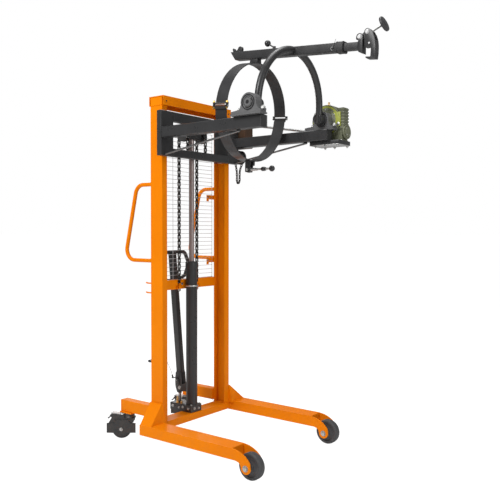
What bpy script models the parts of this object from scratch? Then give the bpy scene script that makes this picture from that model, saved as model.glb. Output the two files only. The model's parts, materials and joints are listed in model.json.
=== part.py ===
"""Drum lifter: a mast on straddle legs, a chain-lifted carriage and a tilting drum clamp.

All sizes are in metres. The model is drawn in mast coordinates: x = 0 is the front
face of the uprights with the legs towards +X, y = 0 is the middle plane and z = 0 is
the floor. The clamp is drawn in its own coordinates: u forward and w up from the
bearing axis. The root empty moves the whole part to the middle of its footprint.
"""

import math

import bmesh
import bpy
from mathutils import Euler, Matrix, Vector

# General clearances and mesh fineness
GAP = 0.0003
RUN = 0.0003
WELD = 0.002
ROUND = 28
FINE = 20
SMALL = 12

# Mast: two channels that face each other
MAST_DEPTH = 0.100
WEB_Y = 0.322
FLANGE_Y = 0.278
WEB_T = 0.0065
FLANGE_T = 0.008
MAST_TOP = 2.1635
BEAM_TOP = 2.169
BEAM_REAR = -0.107
BEAM_FRONT = 0.015
BEAM_DROP = 0.058
BEAM_T = 0.005
BEAM_END = 0.326

# Straddle base
LEG_IN = 0.3405
LEG_OUT = 0.4555
LEG_LOW = 0.105
LEG_HIGH = 0.168
LEG_REAR = -0.064
LEG_TUBE_END = 0.655
CHEEK_T = 0.008
NOSE_R = 0.032
BASE_LOW = 0.114
BASE_HIGH = 0.159
GUSSET_TOP = 0.277
GUSSET_LEAN = 0.030
GUSSET_TOP_W = 0.009
OUTRIGGER_REAR = -0.383
OUTRIGGER_LOW = 0.174
OUTRIGGER_HIGH = 0.248
OUTRIGGER_W = 0.060

# Front wheels
WHEEL_X = 0.750
WHEEL_R = 0.075
WHEEL_W = 0.045
WHEEL_HUB_R = 0.026
WHEEL_HUB_W = 0.062
AXLE_R = 0.008
AXLE_HEAD_R = 0.013
AXLE_HEAD_T = 0.006

# Rear swivel casters
CASTER_X = -0.325
CASTER_Y = 0.295
CASTER_HEADING = 37.5
CASTER_TRAIL = 0.052
CASTER_R = 0.0625
CASTER_W = 0.034
CASTER_FORK_IN = 0.021
CASTER_FORK_T = 0.004
CASTER_RACE_R = 0.032
CASTER_CROWN_Z = 0.138
GUARD_HALF = 0.093
GUARD_BUMP = 0.045
BRAKE_X = -0.042
BRAKE_Z = 0.150
BRAKE_HALF = 0.015
BRAKE_TIP = (-0.118, 0.162)
BRAKE_T = 0.004
BRAKE_PIN_R = 0.003
CASTER_PAD_T = 0.006
CASTER_PAD = 0.052
GUARD_LOW = 0.040
GUARD_HIGH = 0.103

# Hydraulic unit
CYL_X = -0.052
CYL_R = 0.037
CYL_BORE_R = 0.029
CYL_FOOT = 0.200
CYL_HEAD = 1.101
CYL_COLLAR_TOP = 1.140
CYL_COLLAR_R = 0.0405
RAM_R = 0.017
RAM_FOOT = 0.965
RAM_TOP = 1.936
PUMP_REAR = -0.200
PUMP_FRONT = -0.012
PUMP_HALF_W = 0.050
PUMP_HIGH = 0.205
PLUNGER_X = -0.158
PLUNGER_R = 0.008
PLUNGER_CAP_R = 0.013
PLUNGER_TOP = 0.2683
BARREL_TOP = 0.2120
STROKE = 0.730

# Pump lever (tiller)
TILLER_X = -0.136
TILLER_Z = 0.305
TILLER_PIN_R = 0.007
TILLER_HALF = 0.020
TILLER_FOOT = (-0.152, 0.400)
TILLER_HEAD = (-0.2215, 1.205)
TILLER_BAR = 0.040
GRIP_R = 0.0125
TILLER_BACK = 55.0

# Middle cross beam with the chain anchors
MID_LOW = 0.966
MID_HIGH = 1.027
MID_FRONT = -0.0895
MID_REAR = -0.1195
STRAP_LOW = 0.982
STRAP_HIGH = 0.990
STRAP_T = 0.005
CHAIN_Y = 0.085
CHAIN_X_IN = -0.007
CHAIN_X_OUT = -0.083
CHAIN_T = 0.009
CHAIN_W = 0.014
ANCHOR_TOP = 1.006

# Crosshead and chain pulleys
PULLEY_X = -0.045
PULLEY_Z = 1.961
PULLEY_R = 0.0450
PULLEY_GROOVE_R = 0.0330
PULLEY_W = 0.022
PULLEY_PIN_R = 0.009

# Mesh guard behind the mast
GUARD_X = -0.1045
GUARD_T = 0.003
GUARD_HALF_W = 0.266
GUARD_Z0 = 1.0275
GUARD_Z1 = 2.001
GUARD_BARS = 24
GUARD_WIRE = 0.003

# Push handles on the uprights
HANDLE_Y = 0.300
HANDLE_R = 0.0125
HANDLE_PATH = ((-0.1003, 1.640), (-0.135, 1.640), (-0.240, 1.607), (-0.300, 1.500), (-0.310, 1.320),
               (-0.190, 1.175), (-0.140, 1.157), (-0.1003, 1.157))

# Carriage
CAR_REAR = 0.004
CAR_FRONT = 0.042
CAR_LOW = 1.800
CAR_HIGH = 2.072
CAR_OUT = 0.372
CAR_IN = 0.264
CAR_TOP_BAR = 0.058
CAR_LOW_BAR = 0.049
ROLLER_X = -0.050
ROLLER_R = 0.0415
ROLLER_W = 0.030
ROLLER_Y = 0.2955
ROLLER_Z = (1.845, 2.028)
ROLLER_PIN_R = 0.010
SIDE_PLATE_T = 0.008
SIDE_PLATE_REAR = -0.085

# Arms, braces and bearings
ARM_OUT = 0.372
ARM_IN = 0.310
ARM_LOW = 1.905
ARM_HIGH = 1.970
ARM_FRONT = 0.783
BRACE_R = 0.006
BRACE_Y = 0.340
BRACE_END_X = 0.620
AXIS_X = 0.7206
AXIS_Z = 2.0357
BEARING_Y = 0.371
BEARING_W = 0.060
BEARING_PLATE_X0 = 0.597
BEARING_PLATE_X1 = 0.806
BEARING_PLATE_T = 0.008
BEARING_FOOT_T = 0.021
BEARING_R = 0.052
SHAFT_R = 0.025

# Worm gearbox and its hand chain drive on the left
GEAR_Y0 = 0.4045
GEAR_Y1 = 0.474
GEAR_R = 0.100
GEAR_RIB_X = 0.843
WORM_Z = 1.962
WORM_R = 0.036
WORM_Y = 0.445
WORM_REAR = 0.622
WORM_FRONT = 0.852
GEAR_PLATE_X0 = 0.640
GEAR_PLATE_X1 = 0.846
GEAR_PLATE_Y0 = 0.345
GEAR_PLATE_Y1 = 0.490
GEAR_PLATE_LOW = 1.880
BOX_X0 = -0.020
BOX_X1 = 0.100
BOX_Y1 = 0.462
BOX_LOW = 1.912
BOX_HIGH = 2.092
CHAIN_WHEEL_X = 0.016
CHAIN_WHEEL_Z = 1.852
CHAIN_WHEEL_Y = 0.420
CHAIN_WHEEL_R = 0.048
HAND_CHAIN_LOW = 1.676
HAND_CHAIN_R = 0.0402
DRIVE_Z0 = 2.0695
DRIVE_Z1 = 1.9765
DRIVE_Y = 0.440
DRIVE_R = 0.008
DRIVE_START = 0.0022

# Clamp, in its own coordinates
CLAMP_TILT = 5.0
ARCH_Y = 0.314
ARCH_LEG = 0.037
ARCH_R = 0.021
TUBE_W = 0.345
TUBE_SIDE = 0.050
TUBE_BORE = 0.0406
TUBE_REAR_HIGH = -0.459
TUBE_REAR_LOW = -0.419
TUBE_FRONT = 0.292
COLLAR_U0 = 0.290
COLLAR_U1 = 0.335
COLLAR_SIDE = 0.062
INNER_SIDE = 0.040
INNER_REAR = -0.340
INNER_FRONT = 0.430
RING_U = -0.278
RING_WIDE = 0.082
RING_R = 0.2905
RING_T = 0.005
RING_SPLIT = 0.013
LUG_OUT = 0.303
LUG_T = 0.005
LUG_LONG = 0.108
DOOR_Y = 0.2965
DOOR_PIN_R = 0.005
DOOR_OPEN = 15.0
LATCH_U = -0.257
LATCH_W = -0.343
LATCH_R = 0.018
LATCH_TIP_U = -0.086
LATCH_TIP_W = -0.330
JAW_U0 = 0.423
JAW_U1 = 0.4745
HOOK_U = 0.473
HOOK_W = 0.4145
HOOK_HALF = 0.014
SCREW_FOOT = (0.492, 0.416)
SCREW_HEAD = (0.559, 0.450)
KNOB_R = 0.040
LOCK_BASE = (-0.147, 0.3706)
LOCK_BALL = (-0.197, 0.407)
LOCK_BALL_R = 0.019

# The point of the mast coordinates that becomes the origin of the part
ORIGIN_X = 0.45506
ORIGIN_Y = 0.01425

PART = None
CUTS = None


def start():
    """Removes the objects of the scene and makes the two collections."""
    global PART, CUTS
    for obj in list(bpy.data.objects):
        bpy.data.objects.remove(obj, do_unlink=True)
    PART = bpy.data.collections.new("drum_lifter")
    CUTS = bpy.data.collections.new("cutters")
    for found in (PART, CUTS):
        bpy.context.scene.collection.children.link(found)
    CUTS.hide_render = True


def material(name, colour, rough, metal=0.0):
    """A Principled material."""
    made = bpy.data.materials.new(name)
    made.use_nodes = True
    shader = made.node_tree.nodes["Principled BSDF"]
    shader.inputs["Base Color"].default_value = (*colour, 1.0)
    shader.inputs["Roughness"].default_value = rough
    shader.inputs["Metallic"].default_value = metal
    return made


class Frame:
    """One moving group: an empty at its joint, and the point its pieces are measured from."""

    def __init__(self, name, at=(0.0, 0.0, 0.0), parent=None, turn=(0.0, 0.0, 0.0), local=False):
        self.empty = bpy.data.objects.new(name, None)
        PART.objects.link(self.empty)
        self.empty.empty_display_size = 0.05
        self.empty.rotation_euler = turn
        self.zero = Vector((0.0, 0.0, 0.0)) if local else Vector(at)
        if parent is None:
            self.empty.location = (-ORIGIN_X, -ORIGIN_Y, 0.0)
        else:
            self.empty.parent = parent.empty
            self.empty.location = Vector(at) - parent.zero


def piece(name, mesh, at, frame=None, mat=None, turn=(0.0, 0.0, 0.0)):
    """Makes an object of a mesh. With no frame it is a helper that only Booleans see."""
    obj = bpy.data.objects.new(name, mesh)
    obj.rotation_euler = turn
    if frame is None:
        CUTS.objects.link(obj)
        obj.hide_render = True
        obj.display_type = "WIRE"
        obj.location = at
        return obj
    PART.objects.link(obj)
    obj.parent = frame.empty
    obj.location = Vector(at) - frame.zero
    obj["zero"] = list(frame.zero)
    if mat:
        obj.data.materials.append(mat)
    return obj


def join(obj, helper, mode="UNION", solver="EXACT"):
    """Adds a Boolean with a helper, which is moved into the frame of the object."""
    helper.parent = obj.parent
    helper.location = helper.location - Vector(obj["zero"])
    modifier = obj.modifiers.new(helper.name, "BOOLEAN")
    modifier.operation = mode
    modifier.solver = solver
    modifier.object = helper
    return obj


def cut(obj, helper):
    """Cuts a helper out of an object."""
    return join(obj, helper, "DIFFERENCE")


def bevel(obj, width, segments=1):
    """Breaks the long edges of an object."""
    modifier = obj.modifiers.new("edges", "BEVEL")
    modifier.width = width
    modifier.segments = segments
    modifier.limit_method = "ANGLE"
    modifier.angle_limit = math.radians(50)
    modifier.harden_normals = False
    return obj


def smooth(obj, degrees=35):
    """Shades round faces smooth and keeps the sharp edges."""
    obj.data.shade_smooth()
    obj.data.set_sharp_from_angle(angle=math.radians(degrees))
    return obj


def closed_mesh(name, source):
    """The mesh of a curve object, with its seams merged."""
    made = bpy.data.meshes.new_from_object(source)
    made.name = name
    work = bmesh.new()
    work.from_mesh(made)
    bmesh.ops.remove_doubles(work, verts=work.verts, dist=0.00001)
    bmesh.ops.recalc_face_normals(work, faces=work.faces)
    work.to_mesh(made)
    work.free()
    bpy.data.objects.remove(source, do_unlink=True)
    return made


def box_mesh(name, size):
    """A block around its own middle."""
    mesh = bpy.data.meshes.new(name)
    work = bmesh.new()
    bmesh.ops.create_cube(work, size=1.0, matrix=Matrix.Diagonal((*size, 1.0)))
    work.to_mesh(mesh)
    work.free()
    return mesh


def box(name, x, y, z, frame=None, mat=None, edge=0.0, turn=(0.0, 0.0, 0.0)):
    """A block between pairs of limits, turned about its own middle."""
    size = [abs(b - a) for a, b in (x, y, z)]
    middle = Vector([(a + b) / 2 for a, b in (x, y, z)])
    obj = piece(name, box_mesh(name, size), middle, frame, mat, turn)
    return bevel(obj, edge) if edge else obj


def round_mesh(name, r0, r1, length, sides=FINE):
    """A cylinder or cone along Z around its own middle."""
    mesh = bpy.data.meshes.new(name)
    work = bmesh.new()
    bmesh.ops.create_cone(work, cap_ends=True, cap_tris=False, segments=sides,
                          radius1=r0, radius2=r1, depth=length)
    work.to_mesh(mesh)
    work.free()
    return mesh


def rod(name, start_at, end_at, radius, frame=None, mat=None, sides=FINE, tip=None):
    """A round bar between two points. With tip it tapers to that radius."""
    a = Vector(start_at)
    b = Vector(end_at)
    turn = (b - a).to_track_quat("Z", "Y").to_euler()
    mesh = round_mesh(name, radius, radius if tip is None else tip, (b - a).length, sides)
    return smooth(piece(name, mesh, (a + b) / 2, frame, mat, turn))


def ball(name, at, radius, frame=None, mat=None, sides=SMALL):
    """A sphere."""
    mesh = bpy.data.meshes.new(name)
    work = bmesh.new()
    bmesh.ops.create_uvsphere(work, u_segments=sides, v_segments=sides // 2, radius=radius)
    work.to_mesh(mesh)
    work.free()
    return smooth(piece(name, mesh, at, frame, mat))


PLANES = {"XY": (0.0, 0.0, 0.0), "XZ": (math.pi / 2, 0.0, 0.0), "YZ": (math.pi / 2, 0.0, math.pi / 2)}
OUT = {"XY": 2, "XZ": 1, "YZ": 0}
FIRST = {"XY": 0, "XZ": 0, "YZ": 1}
SECOND = {"XY": 1, "XZ": 2, "YZ": 2}


def plate(name, plane, points, low, high, frame=None, mat=None, edge=0.0, holes=()):
    """A flat shape of a plane, between two levels across it. Its origin is its first point."""
    data = bpy.data.curves.new(name, "CURVE")
    data.dimensions = "2D"
    data.fill_mode = "BOTH"
    data.extrude = abs(high - low) / 2
    first = points[0]
    for loop in (points, *holes):
        spline = data.splines.new("POLY")
        spline.points.add(len(loop) - 1)
        for point, (a, b) in zip(spline.points, loop):
            point.co = (a - first[0], b - first[1], 0.0, 1.0)
        spline.use_cyclic_u = True
    source = bpy.data.objects.new(name, data)
    bpy.context.scene.collection.objects.link(source)
    mesh = closed_mesh(name, source)
    at = Vector((0.0, 0.0, 0.0))
    at[FIRST[plane]] = first[0]
    at[SECOND[plane]] = first[1]
    at[OUT[plane]] = (low + high) / 2
    obj = piece(name, mesh, at, frame, mat, PLANES[plane])
    return bevel(obj, edge) if edge else obj


def arc(middle, radius, a0, a1, steps):
    """Points of an arc, with its angles in degrees."""
    made = []
    for i in range(steps + 1):
        angle = math.radians(a0 + (a1 - a0) * i / steps)
        made.append((middle[0] + radius * math.cos(angle), middle[1] + radius * math.sin(angle)))
    return made


def circle(middle, radius, sides):
    """Points of a full circle."""
    return arc(middle, radius, 0.0, 360.0 * (1 - 1 / sides), sides - 1)


def rounded(points, radius, steps=4):
    """A path in space with each inner corner replaced by an arc."""
    path = [Vector(p) for p in points]
    made = [path[0]]
    for before, corner, after in zip(path, path[1:], path[2:]):
        into = (before - corner).normalized()
        out = (after - corner).normalized()
        half = into.angle(out) / 2
        reach = min(radius / math.tan(half), 0.45 * (before - corner).length,
                    0.45 * (after - corner).length)
        r = reach * math.tan(half)
        middle = corner + (into + out).normalized() * (r / math.sin(half))
        a = (corner + into * reach - middle).normalized()
        b = (corner + out * reach - middle).normalized()
        for i in range(steps + 1):
            made.append(middle + a.slerp(b, i / steps) * r)
    made.append(path[-1])
    return made


def tube(name, path, radius, frame=None, mat=None, sides_quarter=1, closed=False):
    """A round bar along a path, with closed ends."""
    data = bpy.data.curves.new(name, "CURVE")
    data.dimensions = "3D"
    data.bevel_depth = radius
    data.bevel_resolution = sides_quarter
    data.use_fill_caps = True
    spline = data.splines.new("POLY")
    spline.points.add(len(path) - 1)
    first = Vector(path[0])
    for point, at in zip(spline.points, path):
        point.co = (*(Vector(at) - first), 1.0)
    spline.use_cyclic_u = closed
    source = bpy.data.objects.new(name, data)
    bpy.context.scene.collection.objects.link(source)
    return smooth(piece(name, closed_mesh(name, source), first, frame, mat))


def lathe(name, profile, at, axis, frame=None, mat=None, steps=FINE, closed=False):
    """A turned shape. The profile holds (radius, height) down the outer side along the axis."""
    mesh = bpy.data.meshes.new(name)
    work = bmesh.new()
    verts = [work.verts.new((r, 0.0, h)) for r, h in profile]
    pairs = list(zip(verts, verts[1:]))
    if closed:
        pairs.append((verts[-1], verts[0]))
    for pair in pairs:
        work.edges.new(pair)
    work.to_mesh(mesh)
    work.free()
    turn = {"Z": (0.0, 0.0, 0.0), "Y": (-math.pi / 2, 0.0, 0.0), "X": (0.0, math.pi / 2, 0.0)}[axis]
    obj = piece(name, mesh, at, frame, mat, turn)
    modifier = obj.modifiers.new("turned", "SCREW")
    modifier.steps = steps
    modifier.render_steps = steps
    modifier.use_merge_vertices = True
    modifier.merge_threshold = 0.00001
    modifier.use_smooth_shade = True
    return obj


def loft_mesh(name, low, high):
    """A solid between two four-cornered sections."""
    mesh = bpy.data.meshes.new(name)
    work = bmesh.new()
    under = [work.verts.new(p) for p in low]
    over = [work.verts.new(p) for p in high]
    work.faces.new(under)
    work.faces.new(over)
    for i in range(4):
        j = (i + 1) % 4
        work.faces.new((under[i], under[j], over[j], over[i]))
    bmesh.ops.recalc_face_normals(work, faces=work.faces)
    work.to_mesh(mesh)
    work.free()
    return mesh


def pair(side, low, high):
    """Limits across the part for the left (+1) or right (-1) side."""
    return tuple(sorted((side * low, side * high)))


def side_name(side):
    """The name ending for a side."""
    return "left" if side > 0 else "right"


# Mast


def upright(side, frame, mat):
    """A rolled channel with its open side towards the middle."""
    x0, x1 = -MAST_DEPTH, 0.0
    shape = [(x0, side * FLANGE_Y), (x0, side * WEB_Y), (x1, side * WEB_Y), (x1, side * FLANGE_Y),
             (x1 - FLANGE_T, side * FLANGE_Y), (x1 - FLANGE_T, side * (WEB_Y - WEB_T)),
             (x0 + FLANGE_T, side * (WEB_Y - WEB_T)), (x0 + FLANGE_T, side * FLANGE_Y)]
    name = "upright_" + side_name(side)
    return plate(name, "XY", shape, BASE_HIGH + GAP, MAST_TOP, frame, mat, edge=0.0015)


def top_beam(frame, mat):
    """A folded channel that caps both uprights."""
    low = BEAM_TOP - BEAM_DROP
    shape = [(BEAM_REAR, low), (BEAM_REAR, BEAM_TOP), (BEAM_FRONT, BEAM_TOP), (BEAM_FRONT, low),
             (BEAM_FRONT - BEAM_T, low), (BEAM_FRONT - BEAM_T, BEAM_TOP - BEAM_T),
             (BEAM_REAR + BEAM_T, BEAM_TOP - BEAM_T), (BEAM_REAR + BEAM_T, low)]
    return plate("top_beam", "XZ", shape, -BEAM_END, BEAM_END, frame, mat, edge=0.0012)


def mid_beam(frame, mat):
    """The cross beam behind the cylinder, with its strap and the fixed chain anchors."""
    half = FLANGE_Y - GAP
    beam = box("mid_beam", (MID_REAR, MID_FRONT), (-half, half), (MID_LOW, MID_HIGH), frame, mat, 0.002)
    inner = CYL_R + GAP
    outer = circle((CYL_X, 0.0), inner + STRAP_T, ROUND)
    hole = circle((CYL_X, 0.0), inner, ROUND)
    join(beam, plate("strap", "XY", outer, STRAP_LOW, STRAP_HIGH, holes=(hole,)))
    for side in (-1, 1):
        middle = side * CHAIN_Y
        join(beam, box("anchor_lug", (MID_FRONT - 0.003, CHAIN_X_OUT + 0.010),
                       (middle - 0.012, middle + 0.012), (0.970, 0.985)))
        join(beam, rod("anchor_rod", (CHAIN_X_OUT + 0.002, middle, 0.957),
                       (CHAIN_X_OUT + 0.002, middle, ANCHOR_TOP), 0.0045, sides=8))
    return beam


def base_beam(frame, mat):
    """The cross tube that joins both legs under the uprights."""
    half = LEG_IN - GAP
    return box("base_beam", (-MAST_DEPTH, 0.0), (-half, half), (BASE_LOW, BASE_HIGH), frame, mat, 0.003)


def leg(side, frame, mat):
    """A straddle leg: tube, curved wheel fork at the front, and the gusset that carries the upright."""
    nose = arc((WHEEL_X, WHEEL_R), NOSE_R, 175.0, 380.0, 9)
    shape = [(LEG_REAR, LEG_LOW), (0.680, LEG_LOW), (0.702, 0.100), (0.714, 0.090), *nose,
             (0.7765, 0.1065), (0.763, 0.123), (0.744, 0.139), (0.718, 0.153), (0.688, 0.163),
             (0.650, LEG_HIGH), (LEG_REAR, LEG_HIGH)]
    low, high = pair(side, LEG_IN, LEG_OUT)
    leg_obj = plate("leg_" + side_name(side), "XZ", shape, low, high, frame, mat)
    slot = pair(side, LEG_IN + CHEEK_T, LEG_OUT - CHEEK_T)
    cut(leg_obj, box("wheel_slot", (LEG_TUBE_END, WHEEL_X + 0.2), slot, (-0.1, 0.3)))
    axle = pair(side, LEG_IN - AXLE_HEAD_T, LEG_OUT + AXLE_HEAD_T)
    join(leg_obj, rod("axle", (WHEEL_X, axle[0], WHEEL_R), (WHEEL_X, axle[1], WHEEL_R), AXLE_R, sides=SMALL))
    for inner, outer in ((LEG_IN - AXLE_HEAD_T, LEG_IN + 0.002), (LEG_OUT - 0.002, LEG_OUT + AXLE_HEAD_T)):
        y0, y1 = pair(side, inner, outer)
        join(leg_obj, rod("axle_head", (WHEEL_X, y0, WHEEL_R), (WHEEL_X, y1, WHEEL_R), AXLE_HEAD_R, sides=6))
    y_in = WEB_Y + GAP
    rear, front = LEG_REAR + WELD, GUSSET_LEAN
    under = [(rear, side * y_in, BASE_HIGH + GAP), (front, side * y_in, BASE_HIGH + GAP),
             (front, side * (LEG_OUT - WELD), LEG_HIGH - WELD), (rear, side * (LEG_OUT - WELD), LEG_HIGH - WELD)]
    over = [(-MAST_DEPTH, side * y_in, GUSSET_TOP), (0.0, side * y_in, GUSSET_TOP),
            (0.0, side * (y_in + GUSSET_TOP_W), GUSSET_TOP), (-MAST_DEPTH, side * (y_in + GUSSET_TOP_W), GUSSET_TOP)]
    join(leg_obj, piece("gusset", loft_mesh("gusset", under, over), (0.0, 0.0, 0.0)))
    return leg_obj


def outrigger(side, frame, mat):
    """The tube behind an upright, with the pad that the caster turns under."""
    tube_obj = box("outrigger_" + side_name(side), (OUTRIGGER_REAR, -MAST_DEPTH - GAP),
                   pair(side, WEB_Y - OUTRIGGER_W, WEB_Y), (OUTRIGGER_LOW, OUTRIGGER_HIGH), frame, mat, 0.003)
    join(tube_obj, box("pad", (CASTER_X - CASTER_PAD, CASTER_X + CASTER_PAD),
                       pair(side, CASTER_Y - 0.040, CASTER_Y + 0.040),
                       (OUTRIGGER_LOW - CASTER_PAD_T, OUTRIGGER_LOW + 0.001)))
    return tube_obj


def push_handle(side, frame, mat):
    """A bent round bar welded behind an upright."""
    path = rounded([(x, side * HANDLE_Y, z) for x, z in HANDLE_PATH], 0.045, 4)
    return tube("push_handle_" + side_name(side), path, HANDLE_R, frame, mat, 1)


def mesh_guard(frame, mat):
    """The wire guard: four upright wires and level wires at an even pitch, with its clips."""
    half = GUARD_WIRE / 2
    columns = (half - GUARD_HALF_W, -0.119, 0.119, GUARD_HALF_W - half)
    pitch = (GUARD_Z1 - GUARD_Z0 - GUARD_WIRE) / GUARD_BARS
    rows = [GUARD_Z0 + half + pitch * i for i in range(GUARD_BARS + 1)]
    ys = [c + offset for c in columns for offset in (-half, half)]
    zs = [c + offset for c in rows for offset in (-half, half)]
    mesh = bpy.data.meshes.new("mesh_guard")
    work = bmesh.new()
    grid = [[work.verts.new((0.0, y, z)) for y in ys] for z in zs]
    for i in range(len(zs) - 1):
        for j in range(len(ys) - 1):
            if i % 2 == 0 or j % 2 == 0:
                work.faces.new((grid[i][j], grid[i][j + 1], grid[i + 1][j + 1], grid[i + 1][j]))
    work.to_mesh(mesh)
    work.free()
    guard = piece("mesh_guard", mesh, (GUARD_X, 0.0, 0.0), frame, mat)
    solid = guard.modifiers.new("wire", "SOLIDIFY")
    solid.thickness = GUARD_T
    solid.offset = 0.0
    for z in (1.136, 1.568):
        for side in (-1, 1):
            join(guard, box("clip", (GUARD_X - 0.0025, -MAST_DEPTH - GAP), pair(side, 0.212, 0.2865),
                            (z - 0.010, z + 0.010)))
    return guard


# Hydraulic unit, ram and chains


def hydraulic_unit(frame, mat):
    """The pump block with the lift cylinder standing on it and the bracket of the pump lever."""
    gland = RAM_R + RUN
    profile = [(gland, CYL_COLLAR_TOP), (CYL_COLLAR_R, CYL_COLLAR_TOP), (CYL_COLLAR_R, CYL_HEAD), (CYL_R, CYL_HEAD),
               (CYL_R, CYL_FOOT), (0.0, CYL_FOOT)]
    bore = [(0.0, CYL_FOOT + 0.012), (CYL_BORE_R, CYL_FOOT + 0.012), (CYL_BORE_R, CYL_HEAD + 0.005),
            (gland, CYL_HEAD + 0.005)]
    unit = lathe("hydraulic_unit", [*profile, *bore, profile[0]], (CYL_X, 0.0, 0.0), "Z", frame, mat, ROUND)
    block = box("block", (PUMP_REAR, PUMP_FRONT), (-PUMP_HALF_W, PUMP_HALF_W), (BASE_HIGH + GAP, PUMP_HIGH))
    join(unit, block)
    join(unit, rod("barrel", (PLUNGER_X, 0.0, PUMP_HIGH - 0.005), (PLUNGER_X, 0.0, BARREL_TOP), 0.015, sides=SMALL))
    cut(unit, rod("pump_bore", (PLUNGER_X, 0.0, PUMP_HIGH - 0.036), (PLUNGER_X, 0.0, BARREL_TOP + 0.01),
                  PLUNGER_R + RUN, sides=SMALL))
    ear = [(CYL_X - 0.024, 0.286), (TILLER_X + 0.006, 0.286), (TILLER_X - 0.012, 0.296), (TILLER_X - 0.015, TILLER_Z),
           (TILLER_X - 0.010, TILLER_Z + 0.014), (CYL_X - 0.024, TILLER_Z + 0.040)]
    for side in (-1, 1):
        low, high = pair(side, TILLER_HALF + 0.001, TILLER_HALF + 0.006)
        join(unit, plate("ear", "XZ", ear, low, high))
    half = TILLER_HALF + 0.010
    join(unit, rod("pin", (TILLER_X, -half, TILLER_Z), (TILLER_X, half, TILLER_Z), TILLER_PIN_R, sides=SMALL))
    return unit


def ram_rod(frame, mat):
    """The ram of the lift cylinder."""
    return rod("ram_rod", (CYL_X, 0.0, RAM_FOOT), (CYL_X, 0.0, RAM_TOP), RAM_R, frame, mat, ROUND)


def crosshead(frame, mat):
    """The yoke on top of the ram, with a pin for each chain pulley."""
    inner = CHAIN_Y - PULLEY_W / 2 - 0.002
    yoke = box("crosshead", (CYL_X - 0.026, CYL_X + 0.028), (-inner, inner), (RAM_TOP + GAP, PULLEY_Z + 0.024),
               frame, mat, 0.003)
    reach = CHAIN_Y + PULLEY_W / 2 + 0.007
    join(yoke, rod("pulley_pin", (PULLEY_X, -reach, PULLEY_Z), (PULLEY_X, reach, PULLEY_Z), PULLEY_PIN_R, sides=SMALL))
    return yoke


def pulley(side, frame, mat):
    """A flanged chain pulley."""
    half = PULLEY_W / 2
    lip = 0.003
    profile = [(PULLEY_PIN_R + RUN, half), (PULLEY_R, half), (PULLEY_R, half - lip), (PULLEY_GROOVE_R, half - lip),
               (PULLEY_GROOVE_R, lip - half), (PULLEY_R, lip - half), (PULLEY_R, -half), (PULLEY_PIN_R + RUN, -half)]
    at = (PULLEY_X, side * CHAIN_Y, PULLEY_Z)
    return lathe("pulley_" + side_name(side), profile, at, "Y", frame, mat, FINE, closed=True)


def strand(name, x, side, low, high, frame, mat):
    """A straight run of leaf chain."""
    y = side * CHAIN_Y
    return box(name, (x - CHAIN_T / 2, x + CHAIN_T / 2), (y - CHAIN_W / 2, y + CHAIN_W / 2), (low, high), frame, mat)


# Pump lever


def tiller(frame, mat):
    """The pump lever: cam head on its pin, square bar and ring grip."""
    x, z = TILLER_X, TILLER_Z
    foot = (PLUNGER_X - 0.008, PLUNGER_TOP + GAP)
    shape = [foot, (x - 0.014, foot[1]), (x + 0.010, z - 0.022), (x + 0.018, z - 0.004), (x + 0.016, z + 0.012),
             (-0.128, 0.400), (-0.135, 0.415), (-0.168, 0.415), (-0.180, 0.400), (-0.184, 0.340), (-0.180, 0.300)]
    head = plate("tiller", "XZ", shape, -TILLER_HALF, TILLER_HALF, frame, mat)
    cut(head, rod("tiller_bore", (x, -0.05, z), (x, 0.05, z), TILLER_PIN_R + RUN, sides=SMALL))
    a = Vector((TILLER_FOOT[0], 0.0, TILLER_FOOT[1]))
    b = Vector((TILLER_HEAD[0], 0.0, TILLER_HEAD[1]))
    lean = math.atan2(b.x - a.x, b.z - a.z)
    bar = piece("bar", box_mesh("bar", (TILLER_BAR, TILLER_BAR - 0.004, (b - a).length)), (a + b) / 2,
                turn=(0.0, lean, 0.0))
    join(head, bevel(bar, 0.003))
    corners = [(0.0, 1.020), (-0.065, 1.026), (-0.125, 1.050), (-0.162, 1.120), (-0.120, 1.202), (0.120, 1.202),
               (0.162, 1.120), (0.125, 1.050), (0.065, 1.026), (0.0, 1.020)]
    loop = [(b.x, y, h) for y, h in corners]
    join(head, tube("grip", rounded(loop, 0.040, 3)[:-1], GRIP_R, closed=True))
    return head


def pump_plunger(frame, mat):
    """The plunger of the pump, with the cap that the lever presses."""
    profile = [(0.0, PLUNGER_TOP), (PLUNGER_CAP_R, PLUNGER_TOP), (PLUNGER_CAP_R, PLUNGER_TOP - 0.006),
               (PLUNGER_R, PLUNGER_TOP - 0.006), (PLUNGER_R, PUMP_HIGH - 0.006), (0.0, PUMP_HIGH - 0.006)]
    return lathe("pump_plunger", profile, (PLUNGER_X, 0.0, 0.0), "Z", frame, mat, SMALL)


def pump_spring(frame, mat):
    """The return spring around the plunger."""
    low = BARREL_TOP + 0.0015
    high = PLUNGER_TOP - 0.0075
    coils = 5
    steps = 10
    path = []
    for i in range(coils * steps + 1):
        angle = 2 * math.pi * i / steps
        path.append((PLUNGER_X + 0.0112 * math.cos(angle), 0.0112 * math.sin(angle),
                     low + (high - low) * i / (coils * steps)))
    return tube("pump_spring", path, 0.0012, frame, mat, 0)


# Wheels and casters


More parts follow.
